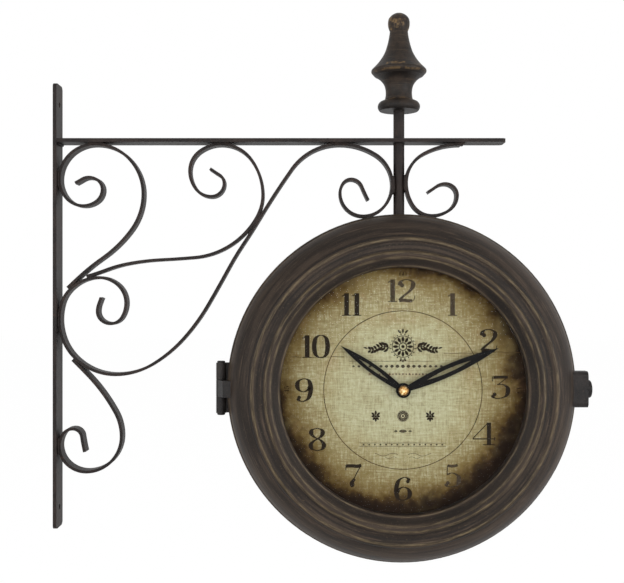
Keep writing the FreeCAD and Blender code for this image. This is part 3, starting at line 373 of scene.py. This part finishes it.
def clear_glass():
    """Thin flat glass: clear from the front, with a faint reflection and a little dust."""
    finish, paint = new_finish("clear_glass")
    spot = place_mm(paint, CENTRE)
    smear = spot.noise(0.02, 3.0, 0.5)
    clear = paint.node("ShaderNodeBsdfTransparent", None, {"Color": (0.985, 0.99, 0.985, 1.0)})
    # A dark mirror laid on thicker than a bright one would be keeps the reflection faint and even.
    gloss = surface(paint, tint(96, 97, 98), 0.02 + smear * 0.02, metallic=1.0)
    facing = paint.node("ShaderNodeLayerWeight", None, {"Blend": 0.22}, out=0)
    close_finish(paint, paint.node("ShaderNodeMixShader", None, {
        0: facing * 0.08 + smear * 0.004, 1: clear, 2: gloss}))
    return finish


def plated_steel():
    """Zinc-plated sheet, with a fine grain and dull patches."""
    finish, paint = new_finish("plated_steel")
    spot = place_mm(paint)
    grain = spot.noise(1.8, 4.0, 0.6)
    patch = spot.noise(0.08, 3.0)
    color = patch.rise(0.35, 0.65).over(tint(150, 148, 142), tint(176, 175, 170))
    color = (grain.rise(0.62, 0.75) * 0.5).over(color, tint(120, 112, 100))
    close_finish(paint, surface(paint, color, 0.34 + patch * 0.18, grain, 0.00005, metallic=0.85))
    return finish


def worn_brass():
    """Cast brass, with a painted highlight in the middle and in pale flecks, painted shade towards its edge,
    and browned in the grain.
    """
    finish, paint = new_finish("worn_brass")
    spot = place_mm(paint, CENTRE)
    x, y, z = spot.parts()
    reach = (x * x + z * z) ** 0.5
    film = spot.noise(0.9, 4.0, 0.65)
    lumps_and_glints = spot.noise(0.55, 2.0, 0.5)
    color = film.rise(0.42, 0.66).over(tint(206, 160, 96), tint(122, 82, 44))
    # Painted shade towards the edge of the nut.
    color = (reach.rise(1.9, 3.7) * 0.85).over(color, tint(74, 48, 28))
    # Painted highlight in the middle.
    color = (reach.rise(1.5, 0.7) * 0.6).over(color, tint(244, 224, 184))
    # Painted highlights in pale flecks.
    color = (lumps_and_glints.rise(0.55, 0.68) * 0.7).over(color, tint(246, 222, 172))
    close_finish(paint, surface(paint, color, 0.24 + film * 0.2, lumps_and_glints, 0.0012, metallic=0.9))
    return finish


def moulded_plastic(name, light, dark, rough):
    """Moulded plastic with a spark-eroded grain."""
    finish, paint = new_finish(name)
    spot = place_mm(paint)
    grain = spot.noise(3.2, 2.0, 0.5)
    cloud = spot.noise(0.12, 3.0)
    color = cloud.rise(0.35, 0.7).over(dark, light)
    close_finish(paint, surface(paint, color, rough + grain * 0.12, grain, 0.00008))
    return finish


def pressed_board():
    """Brown pressed board: matted fibres."""
    finish, paint = new_finish("pressed_board")
    spot = place_mm(paint)
    x, y, z = spot.parts()
    fibre = joined(paint, x * 0.5, y, z * 2.2).noise(1.0, 5.0, 0.7)
    color = fibre.ramp((0.3, tint(84, 58, 36)), (0.5, tint(118, 84, 54)), (0.7, tint(146, 110, 74)))
    close_finish(paint, surface(paint, color, 0.75, fibre, 0.0001))
    return finish


def battery_wrap():
    """A plain wrap: dark body, one lighter band and a bare metal button."""
    finish, paint = new_finish("battery_wrap")
    spot = place_mm(paint, CENTRE)
    x, y, z = spot.parts()
    along = to_the_right(x, y)
    band = along.rise(9.0, 9.4) * along.rise(23.0, 22.6)
    scuff = spot.noise(0.6, 4.0, 0.7)
    color = band.over(tint(34, 35, 38), tint(176, 120, 58))
    color = (scuff.rise(0.6, 0.72) * 0.35).over(color, tint(110, 108, 104))
    metal = along.rise(23.2, 23.4)
    color = metal.over(color, tint(184, 182, 176))
    close_finish(paint, surface(paint, color, 0.3 + scuff * 0.15, scuff, 0.00004, metallic=metal))
    return finish


# Each material slot's finish. Paints are dark, mid and rust; plastics are light and dark.
FINISHES = {
    "bracket_brown": aged_paint("bracket_paint", tint(24, 19, 18), tint(42, 34, 31), tint(76, 56, 44)),
    "case_brown": ringed_paint(),
    "finial_brown": finial_paint(),
    "hinge_black": aged_paint("hinge_paint", tint(26, 24, 24), tint(48, 44, 42), tint(78, 64, 52), 0.45),
    "hand_black": hand_paint(),
    "dial_cream": dial_paper(),
    "clear_glass": clear_glass(),
    "hardboard": pressed_board(),
    "bright_steel": plated_steel(),
    "brass": worn_brass(),
    "movement_plastic": moulded_plastic("movement_plastic", tint(40, 40, 42), tint(24, 24, 26), 0.5),
    "spacer_plastic": moulded_plastic("spacer_plastic", tint(52, 42, 34), tint(30, 24, 20), 0.6),
    "battery_wrap": battery_wrap(),
}


def new_piece(name, mesh, finish):
    """A named object from a bmesh, in one finish."""
    data = bpy.data.meshes.new(name)
    mesh.to_mesh(data)
    mesh.free()
    data.materials.append(finish)
    piece = bpy.data.objects.new(name, data)
    bpy.context.scene.collection.objects.link(piece)
    return piece


def dress_solids():
    """Every carried-over solid takes the finish of its own slot."""
    for part in frame["record"]["subparts"]:
        solid = bpy.data.objects[part["node"]]
        solid.data.materials.clear()
        solid.data.materials.append(FINISHES[part["material_slot"]])


dress_solids()


# ---------------------------------------------------------------- what is printed on the dials

PRINT_LIFT = 0.06       # of the ink over the paper, mm
LAYER_LIFT = 0.004      # of each stroke over the one before, so that no two share a plane
LAYERS = 8              # strokes before the lift starts again

THIN = 0.04             # a numeral's hairline and its stem, as shares of its height
THICK = 0.21
SWELL = 2.4             # how quickly a bow thickens as it turns upright
DROP_SIZE = 1.2         # of a round end, to its listed radius
FIGURE_GAP = 0.06       # between two figures, as a share of the height
CURVE_STEPS = 9         # between two points of a curve

NUMERAL_HEIGHT = 17.6   # mm, as are the places below
NUMERAL_RING = 77.4
WORN_HOURS = (1, 5, 12)
MINUTE_HEIGHT = 3.6
MINUTE_RING = 91.0
LINE_RING = 62.0
EYE_UP = -20.4

# How wide each figure is drawn for its height, and how far a numeral stands off its place on the ring.
STRETCH = {"0": 1.46, "1": 1.1, "2": 1.48, "3": 1.66, "4": 1.8, "5": 1.4, "6": 1.46, "7": 1.5, "8": 1.38,
           "9": 1.46}
NUDGE = {3: (-1.4, 2.2), 4: (-3.8, 4.4), 10: (-1.2, -4.6), 11: (-1.6, 0.0), 12: (-1.2, 0.4)}

# Creases across the paper, drawn as dark lines of painted shade along each fold: left, right, height, width
# and how unsteady.
CREASE_SHADE_LINES = (
    (-88.0, -58.0, 25.8, 0.42, 0.12), (-56.0, -46.0, 26.0, 0.5, 0.12), (62.0, 92.0, 29.6, 0.4, 0.12),
    (32.0, 60.0, 28.8, 0.35, 0.12), (-42.0, 24.0, 22.6, 0.36, 0.06), (-12.0, 8.0, 63.5, 0.3, 0.1),
)

# Each figure: strokes through points x, y (height 1), with "line" for a straight stroke of its own width,
# "bow" for a stroke that swells where it runs upright, and "drop" for a round end.
FIGURES = {
    "0": (0.5, [("bow", [(0.26, 1.0), (0.17, 0.97), (0.08, 0.82), (0.045, 0.5), (0.08, 0.18), (0.17, 0.03),
                         (0.26, 0.0)]),
                ("bow", [(0.24, 1.0), (0.33, 0.97), (0.42, 0.82), (0.455, 0.5), (0.42, 0.18), (0.33, 0.03),
                         (0.24, 0.0)])]),
    "1": (0.36, [("line", [(0.19, 0.0), (0.19, 1.0)], THICK), ("line", [(0.01, 0.015), (0.37, 0.015)], THIN),
                 ("line", [(0.0, 0.86), (0.17, 0.98)], 0.045)]),
    "2": (0.5, [("drop", (0.115, 0.74), 0.078),
                ("bow", [(0.05, 0.72), (0.09, 0.91), (0.25, 1.0), (0.42, 0.9), (0.44, 0.7), (0.34, 0.48),
                         (0.15, 0.25), (0.03, 0.06)]),
                ("line", [(0.03, 0.055), (0.16, 0.075), (0.3, 0.05), (0.42, 0.055)], 0.14),
                ("line", [(0.42, 0.03), (0.48, 0.12), (0.495, 0.28)], 0.035)]),
    "3": (0.5, [("line", [(0.07, 0.93), (0.2, 0.945), (0.46, 0.95)], 0.13),
                ("line", [(0.045, 0.98), (0.05, 0.76)], THIN),
                ("line", [(0.46, 0.95), (0.2, 0.62)], THIN),
                ("bow", [(0.17, 0.62), (0.32, 0.62), (0.44, 0.5), (0.46, 0.3), (0.4, 0.1), (0.23, 0.0),
                         (0.1, 0.03), (0.045, 0.16)]),
                ("drop", (0.105, 0.18), 0.07)]),
    "4": (0.54, [("line", [(0.4, 0.0), (0.4, 1.0)], THICK * 0.9),
                 ("line", [(0.38, 1.0), (0.0, 0.29)], THIN),
                 ("line", [(0.0, 0.275), (0.55, 0.275)], 0.05),
                 ("line", [(0.25, 0.015), (0.54, 0.015)], THIN),
                 ("line", [(0.545, 0.2), (0.545, 0.36)], THIN)]),
    "5": (0.5, [("line", [(0.1, 0.94), (0.26, 0.92), (0.42, 0.97)], 0.12),
                ("line", [(0.1, 0.96), (0.08, 0.54)], THIN),
                ("bow", [(0.08, 0.54), (0.24, 0.62), (0.42, 0.5), (0.46, 0.3), (0.4, 0.09), (0.23, 0.0),
                         (0.1, 0.03), (0.045, 0.16)]),
                ("drop", (0.105, 0.18), 0.07)]),
    "6": (0.5, [("drop", (0.4, 0.83), 0.068),
                ("bow", [(0.455, 0.86), (0.38, 0.98), (0.26, 1.0), (0.11, 0.84), (0.045, 0.45), (0.1, 0.1),
                         (0.25, 0.0), (0.41, 0.1), (0.46, 0.3), (0.4, 0.5), (0.26, 0.58), (0.13, 0.48),
                         (0.08, 0.36)])]),
    "7": (0.48, [("line", [(0.02, 0.93), (0.2, 0.935), (0.35, 0.915), (0.47, 0.96)], 0.15),
                 ("line", [(0.015, 0.985), (0.015, 0.74)], THIN),
                 ("line", [(0.47, 0.97), (0.33, 0.6), (0.24, 0.3)], 0.045),
                 ("bow", [(0.27, 0.36), (0.2, 0.2), (0.2, 0.07)]), ("drop", (0.2, 0.07), 0.075)]),
    "8": (0.5, [("bow", [(0.25, 1.0), (0.09, 0.93), (0.06, 0.76), (0.16, 0.6), (0.36, 0.46), (0.46, 0.26),
                         (0.4, 0.07), (0.25, 0.0)]),
                ("bow", [(0.25, 0.0), (0.09, 0.07), (0.04, 0.25), (0.13, 0.42), (0.34, 0.6), (0.42, 0.78),
                         (0.38, 0.93), (0.25, 1.0)])]),
}


def curve_through(points):
    """A smooth run through points, with the first and last held."""
    points = [Vector(point) for point in points]
    padded = [points[0] * 2 - points[1], *points, points[-1] * 2 - points[-2]]
    run = []
    for before, start, end, after in zip(padded, padded[1:], padded[2:], padded[3:]):
        square = 2 * before - 5 * start + 4 * end - after
        cube = 3 * start - before - 3 * end + after
        for step in range(CURVE_STEPS):
            t = step / CURVE_STEPS
            run.append(0.5 * (2 * start + (end - before) * t + square * t * t + cube * t ** 3))
    return run + [points[-1]]


def way_along(run, step):
    """The way that a run of points has at one of them."""
    return run[min(step + 1, len(run) - 1)] - run[max(step - 1, 0)]


class DialPrint:
    """Flat ink on one dial, drawn in mm from the dial's centre as its own reader sees it."""

    def __init__(self, side, name):
        low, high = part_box(f"{side}_dial")
        self.side = side
        self.name = f"{side}_{name}"
        self.paper = low.y if side == "front" else high.y
        self.mesh = bmesh.new()
        self.layer = 0

    def spot(self, across, up):
        """A place on the dial, as a point in space just over the paper."""
        hand = 1 if self.side == "front" else -1
        lift = (PRINT_LIFT + self.layer * LAYER_LIFT) * MM
        return Vector((CENTRE.x + hand * across * MM, self.paper - hand * lift, CENTRE.z + up * MM))

    def strip(self, lefts, rights):
        """A band between two runs of points."""
        rows = [(self.mesh.verts.new(self.spot(*left)), self.mesh.verts.new(self.spot(*right)))
                for left, right in zip(lefts, rights)]
        for (a, b), (c, d) in zip(rows, rows[1:]):
            self.mesh.faces.new((a, b, d, c))
        self.layer = (self.layer + 1) % LAYERS

    def brush(self, run, widths):
        """A stroke along a run of points, with a width at each."""
        lefts, rights = [], []
        for step, point in enumerate(run):
            way = way_along(run, step)
            side = Vector((-way.y, way.x)).normalized() * widths[step] / 2
            lefts.append(point + side)
            rights.append(point - side)
        self.strip(lefts, rights)

    def disc(self, across, up, radius, sides=24):
        """A filled round spot."""
        turns = [math.tau * step / sides for step in range(sides)]
        self.mesh.faces.new([
            self.mesh.verts.new(self.spot(across + radius * math.cos(turn), up + radius * math.sin(turn)))
            for turn in turns])
        self.layer = (self.layer + 1) % LAYERS

    def ring(self, radius, width, sides=180, up=0.0):
        """A round line about a point on the dial's upright axis."""
        turns = [math.tau * step / sides for step in range(sides + 1)]
        ways = [Vector((math.cos(turn), math.sin(turn))) for turn in turns]
        middle = Vector((0.0, up))
        self.strip([middle + way * (radius + width / 2) for way in ways],
                   [middle + way * (radius - width / 2) for way in ways])

    def figure(self, character, left, middle, height, turn=0.0):
        """One figure of a numeral: its left edge from the numeral's middle, which it turns about."""
        shape_of = "6" if character == "9" else character
        spare, strokes = FIGURES[shape_of]
        swing = Matrix.Rotation(turn, 2)

        def on_dial(x, y):
            if character == "9":
                x, y = spare - x, 1.0 - y
            return middle + swing @ Vector((left + x * STRETCH[character] * height, (y - 0.5) * height))

        for kind, *shape in strokes:
            if kind == "drop":
                (x, y), radius = shape
                spot = on_dial(x, y)
                self.disc(spot.x, spot.y, radius * height * DROP_SIZE)
                continue
            points = [on_dial(x, y) for x, y in shape[0]]
            run = curve_through(points) if len(points) > 2 else points
            if kind == "line":
                self.brush(run, [shape[1] * height] * len(run))
                continue
            upright = swing @ Vector((0.0, 1.0))
            steep = [abs(way_along(run, step).normalized().dot(upright)) for step in range(len(run))]
            self.brush(run, [height * (THIN + (THICK - THIN) * share ** SWELL) for share in steep])

    def numeral(self, number, across, up, height, turn=0.0):
        """A number centred at across, up."""
        wide = [FIGURES["6" if letter == "9" else letter][0] * STRETCH[letter] for letter in str(number)]
        left = -(sum(wide) + FIGURE_GAP * (len(wide) - 1)) * height / 2
        for letter, width in zip(str(number), wide):
            self.figure(letter, left, Vector((across, up)), height, turn)
            left += (width + FIGURE_GAP) * height

    def leaf(self, root, tip, width, lean=0.0):
        """A pointed leaf from root to tip, its belly leaning to one side."""
        root, tip = Vector(root), Vector(tip)
        side = Vector((root.y - tip.y, tip.x - root.x))
        shares = [step / 10 for step in range(11)]
        run = [root.lerp(tip, share) + side * lean * math.sin(math.pi * share) for share in shares]
        self.brush(run, [width * math.sin(math.pi * (0.04 + 0.92 * share)) ** 0.8 for share in shares])

    def row(self, left, right, up, width, waves=0.0):
        """A hairline across the dial, a little unsteady."""
        steps = max(8, int((right - left) / 1.5))
        run = [Vector((left + (right - left) * step / steps,
                       up + waves * math.sin(step * 0.9) + waves * math.sin(step * 0.37 + up)))
               for step in range(steps + 1)]
        self.brush(run, [width] * len(run))

    def lozenge(self, across, up, wide, tall):
        """A small pointed dash that lies level."""
        self.leaf((across - wide / 2, up), (across + wide / 2, up), tall)

    def finish(self, ink):
        """Turn the strokes into one piece that rides with its dial."""
        bmesh.ops.recalc_face_normals(self.mesh, faces=self.mesh.faces)
        piece = new_piece(self.name, self.mesh, ink)
        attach(piece, CARRIER[self.side])


# Inks: colour, and how solid they lie, where 1 covers the paper between the worn spots.
INK = printed("numeral_ink", tint(26, 20, 16), 1.3)
GREY_INK = printed("grey_ink", tint(70, 60, 50), 0.95)
LINE_INK = printed("line_ink", tint(84, 64, 38), 1.0)
RED_INK = printed("red_ink", tint(150, 88, 58), 0.7)
BURNT_INK = printed("burnt_ink", tint(40, 28, 20), 0.9)


def print_numerals(side):
    """Twelve upright numerals, the worn ones in greyer ink, and small minute figures at the rim."""
    fresh, worn_and_highlight = DialPrint(side, "numerals"), DialPrint(side, "worn_numerals")
    for hour in range(1, 13):
        turn = math.radians(90 - 30 * hour)
        shift = NUDGE.get(hour, (0.0, 0.0))
        ink = worn_and_highlight if hour in WORN_HOURS else fresh
        ink.numeral(hour, NUMERAL_RING * math.cos(turn) + shift[0],
                    NUMERAL_RING * math.sin(turn) + shift[1], NUMERAL_HEIGHT)
    fresh.finish(INK)
    worn_and_highlight.finish(GREY_INK)
    minutes = DialPrint(side, "minute_figures")
    for number, turn in ((60, 90), (15, 0), (30, 270), (45, 180)):
        way = math.radians(turn)
        minutes.numeral(number, MINUTE_RING * math.cos(way), MINUTE_RING * math.sin(way), MINUTE_HEIGHT,
                        way - math.pi / 2)
    minutes.finish(BURNT_INK)


def print_lines(side):
    """The thin ring and the creases as lines of painted shade, plain ornamental rules above and below the
    middle, and red dots.
    """
    lines = DialPrint(side, "ring_line_and_crease_shade")
    lines.ring(LINE_RING, 0.65)
    # Painted shade along each crease.
    for crease_shade in CREASE_SHADE_LINES:
        lines.row(*crease_shade)
    lines.finish(LINE_INK)
    rules = DialPrint(side, "plain_rules")
    for step in range(-9, 10):
        rules.lozenge(step * 4.3, 18.6, 3.0 - abs(step) * 0.1, 2.7 - abs(step) * 0.13)
    for up in (-41.5, -44.0):
        rules.row(-34.0, 34.0, up, 0.34)
    for step in range(-7, 8):
        rules.lozenge(step * 4.4, -42.75, 1.5, 1.3)
    for across, wide, tall in ((0.0, 6.0, 2.6), (-5.6, 3.0, 1.4), (5.6, 3.0, 1.4)):
        rules.lozenge(across, -32.2, wide, tall)
    for hand in (-1, 1):
        upper = [Vector((hand * (4.0 + step * 1.5), -50.6 + 1.1 * math.sin(step * 0.62)))
                 for step in range(13)]
        rules.brush(upper, [0.32] * len(upper))
        lower = [Vector((hand * (5.0 + step), -53.0 + 0.7 * math.sin(step * 0.8))) for step in range(10)]
        rules.brush(lower, [0.26] * len(lower))
    rules.finish(GREY_INK)
    dots = DialPrint(side, "red_dots")
    for step in range(-10, 11):
        dots.disc(step * 2.6, 12.4, 0.62 if step % 2 else 0.85, sides=12)
    dots.finish(RED_INK)


def print_sprays(rosette, middle):
    """A leafy spray to each side of the rosette."""
    for hand in (-1, 1):
        stem = [Vector((hand * (10.4 + step * 1.15), middle.y - 1.4 + 1.5 * math.sin(step * 0.42)))
                for step in range(16)]
        rosette.brush(stem, [0.8 - step * 0.03 for step in range(16)])
        for step in range(1, 15, 2):
            root = stem[step]
            length = 4.4 - step * 0.14
            rosette.leaf(root, root + Vector((hand * length * 0.8, length * 0.85)), 2.0, hand * 0.12)
            rosette.leaf(root, root + Vector((hand * length * 0.85, -length * 0.75)), 1.9, -hand * 0.12)
        rosette.leaf(stem[-1], stem[-1] + Vector((hand * 3.2, 0.8)), 1.3)


def print_leaf_marks(rosette):
    """A small mark of eight leaves to each side of the winding-hole eye."""
    for hand in (-1, 1):
        spot = Vector((hand * 21.3, -20.6))
        for turn, length in ((90, 4.6), (42, 4.4), (138, 4.4), (0, 3.4), (180, 3.4), (-50, 3.6), (230, 3.6),
                             (270, 4.2)):
            way = Vector((math.cos(math.radians(turn)), math.sin(math.radians(turn))))
            rosette.leaf(spot + way * 0.9, spot + way * length, 1.7)
        rosette.disc(spot.x, spot.y, 0.9)


def print_rosette(side):
    """A garden rosette with two leafy sprays, over two small leaf marks and a winding-hole eye."""
    rosette = DialPrint(side, "rosette")
    middle = Vector((0.0, 34.0))
    rosette.ring(3.0, 0.8, 40, middle.y)
    rosette.ring(8.4, 0.55, 60, middle.y)
    rosette.disc(0.0, middle.y, 1.3)
    for step in range(12):
        turn = math.tau * step / 12
        way = Vector((math.cos(turn), math.sin(turn)))
        rosette.leaf(middle + way * 3.6, middle + way * 7.9, 2.3)
    for step in range(20):
        turn = math.tau * (step + 0.5) / 20
        rosette.disc(9.6 * math.cos(turn), middle.y + 9.6 * math.sin(turn), 0.55, sides=10)
    for lean in (-0.5, 0.0, 0.5):
        rosette.leaf((lean * 3.0, middle.y + 10.4), (lean * 8.0, middle.y + 14.2 - abs(lean) * 2.4), 1.5)
        rosette.leaf((lean * 2.0, middle.y - 10.0), (lean * 5.0, middle.y - 12.4 + abs(lean) * 2.0), 1.3)
    print_sprays(rosette, middle)
    print_leaf_marks(rosette)
    rosette.finish(INK)
    eye = DialPrint(side, "winding_eye")
    for radius, width in ((4.2, 0.4), (3.2, 1.3), (2.0, 0.9)):
        eye.ring(radius, width, 40, EYE_UP)
    eye.disc(0.0, EYE_UP, 0.9)
    eye.finish(GREY_INK)


for side in SIDES:
    print_numerals(side)
    print_lines(side)
    print_rosette(side)


# ---------------------------------------------------------------- weld beads on the bracket

BEAD_SIDES = 10

# Each bead's middle x, y, z in mm, the way it runs, its half length and its radius.
WELDS = (
    ((276.3, -3.7, 98.8), (0, 0, 1), 7.5, 1.5), ((286.1, -3.7, 100.2), (0, 0, 1), 7.0, 1.5),
    ((276.3, 3.7, 98.8), (0, 0, 1), 7.5, 1.5), ((286.1, 3.7, 100.2), (0, 0, 1), 7.0, 1.5),
    ((232.7, -6.2, 132.6), (1, 0, 0), 8.0, 1.1), ((135.9, 6.2, 132.6), (1, 0, 0), 7.0, 1.1),
    ((135.9, -6.2, 132.6), (1, 0, 0), 7.0, 1.1), ((33.3, -6.2, 132.6), (1, 0, 0), 6.0, 1.1),
    ((232.7, 6.2, 132.6), (1, 0, 0), 8.0, 1.1), ((33.3, 6.2, 132.6), (1, 0, 0), 6.0, 1.1),
    ((330.0, -6.1, 132.5), (1, 0, 0), 5.0, 1.0), ((330.0, 6.1, 132.5), (1, 0, 0), 5.0, 1.0),
    ((3.5, -6.2, 103.3), (0, 0, 1), 7.0, 1.1), ((3.5, 6.2, 103.3), (0, 0, 1), 7.0, 1.1),
    ((3.5, -6.2, -11.1), (0, 0, 1), 7.0, 1.1), ((3.5, 6.2, -11.1), (0, 0, 1), 7.0, 1.1),
    ((3.5, -6.2, -114.2), (0, 0, 1), 7.0, 1.1), ((3.5, 6.2, -114.2), (0, 0, 1), 7.0, 1.1),
    ((3.6, 0.0, 132.4), (0, 1, 0), 9.0, 1.3),
)


def weld_beads():
    """Rippled beads of weld where the bars meet, under the same paint."""
    mesh = bmesh.new()
    turns = [math.tau * side / BEAD_SIDES for side in range(BEAD_SIDES)]
    for middle, way, half, radius in WELDS:
        way = Vector(way)
        across = way.orthogonal().normalized()
        third = way.cross(across)
        rings = []
        steps = max(10, int(half * 4))
        for step in range(steps + 1):
            share = step / steps * 2.0 - 1.0
            ripple = 1.0 + 0.13 * math.sin(step * 1.9 + middle[2])
            thick = radius * (1.0 - share ** 6) ** 0.5 * ripple
            spot = Vector(middle) + way * half * share
            rings.append([
                mesh.verts.new((spot + across * thick * math.cos(turn) + third * thick * math.sin(turn)) * MM)
                for turn in turns])
        for ring, after in zip(rings, rings[1:]):
            for side in range(BEAD_SIDES):
                beside = (side + 1) % BEAD_SIDES
                mesh.faces.new((ring[side], ring[beside], after[beside], after[side]))
    bmesh.ops.remove_doubles(mesh, verts=mesh.verts, dist=1e-7)
    for face in mesh.faces:
        face.smooth = True
    beads = new_piece("weld_beads", mesh, FINISHES["bracket_brown"])
    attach(beads, "bracket_and_drum")


weld_beads()


# ---------------------------------------------------------------- stage, lights and camera

CAMERA_RAY, GLOSSY_RAY, TRANSMISSION_RAY = 0, 3, 6      # the Light Path node's outputs

# Each light's name, place, the point that it faces, its width, height and power.
LIGHTS = (
    ("right_card", (1.5, -0.9, -0.25), (0.25, 0, -0.05), 1.0, 1.4, 25.0),
    ("left_card", (-1.1, -1.0, -0.1), (0.25, 0, -0.05), 1.0, 1.4, 15.0),
    ("front_card", (0.2, -2.3, 0.35), (0.25, 0, 0.0), 1.4, 1.0, 14.0),
)

# The photograph's camera: its place, its focal length and the photograph's width in pixels.
CAMERA_PLACE = (0.21, -0.806, 0.01175)
FOCAL_PIXELS = 983.0
PHOTO_WIDTH = 624.0
SENSOR_WIDTH = 36.0


def background_rays(wire):
    """1 for rays that only show the background: the camera's, and those off gloss and through glass."""
    seen, glossy, through = [wire.node("ShaderNodeLightPath", out=ray)
                             for ray in (CAMERA_RAY, GLOSSY_RAY, TRANSMISSION_RAY)]
    return wire.math("MAXIMUM", wire.math("MAXIMUM", seen, glossy), through)


def plain_world():
    """Plain light from all round, stronger from the sides and below than from above, seen as white."""
    world = bpy.data.worlds.new("studio")
    bpy.context.scene.world = world
    world.use_nodes = True
    world.node_tree.nodes.clear()
    sky = Wire(world.node_tree)
    seen = background_rays(sky)
    height = sky.node("ShaderNodeTexCoord", out=0).parts()[2]
    strength = 0.5 - height.rise(0.1, 0.8) * 0.3
    strength = strength + (1.0 - strength) * seen
    light = sky.node("ShaderNodeBackground", None, {"Color": WHITE, "Strength": strength})
    output = sky.tree.nodes.new("ShaderNodeOutputWorld")
    sky.tree.links.new(light.socket, output.inputs["Surface"])


def pale_floor():
    """A wide pale floor under the clock: it keeps the shadow and fades to white."""
    finish, paint = new_finish("floor_white")
    speck = place_mm(paint).noise(0.01, 2.0)
    color = speck.over(tint(250, 250, 250), tint(254, 254, 254))
    matte = paint.node("ShaderNodeBsdfDiffuse", None, {"Color": color})
    glow = paint.node("ShaderNodeEmission", None, {"Color": WHITE, "Strength": 1.04})
    close_finish(paint, paint.node("ShaderNodeMixShader", None, {
        0: background_rays(paint) * 0.94, 1: matte, 2: glow}))
    mesh = bmesh.new()
    bmesh.ops.create_grid(mesh, x_segments=8, y_segments=8, size=6.0)
    bmesh.ops.translate(mesh, verts=mesh.verts, vec=(0.2, 0.0, -0.32))
    new_piece("floor", mesh, finish)


def soft_light(name, place, target, width, height, power):
    """A lit card at a place, turned to face a point."""
    lamp = bpy.data.lights.new(name, "AREA")
    lamp.shape = "RECTANGLE"
    lamp.size = width
    lamp.size_y = height
    lamp.energy = power
    holder = bpy.data.objects.new(name, lamp)
    bpy.context.scene.collection.objects.link(holder)
    holder.location = place
    holder.rotation_euler = (Vector(target) - Vector(place)).to_track_quat("-Z", "Y").to_euler()


def set_camera():
    """The photograph's view: level, square to the dial, just left of the clock and above its middle."""
    data = bpy.data.cameras.new("photo_view")
    data.sensor_width = SENSOR_WIDTH
    data.lens = SENSOR_WIDTH * FOCAL_PIXELS / PHOTO_WIDTH
    data.clip_start = 0.01
    data.clip_end = 50.0
    camera = bpy.data.objects.new("photo_view", data)
    bpy.context.scene.collection.objects.link(camera)
    camera.location = CAMERA_PLACE
    camera.rotation_euler = (math.radians(90), 0.0, 0.0)
    bpy.context.scene.camera = camera


plain_world()
pale_floor()
for light in LIGHTS:
    soft_light(*light)
set_camera()
bpy.context.scene.view_settings.view_transform = "Standard"
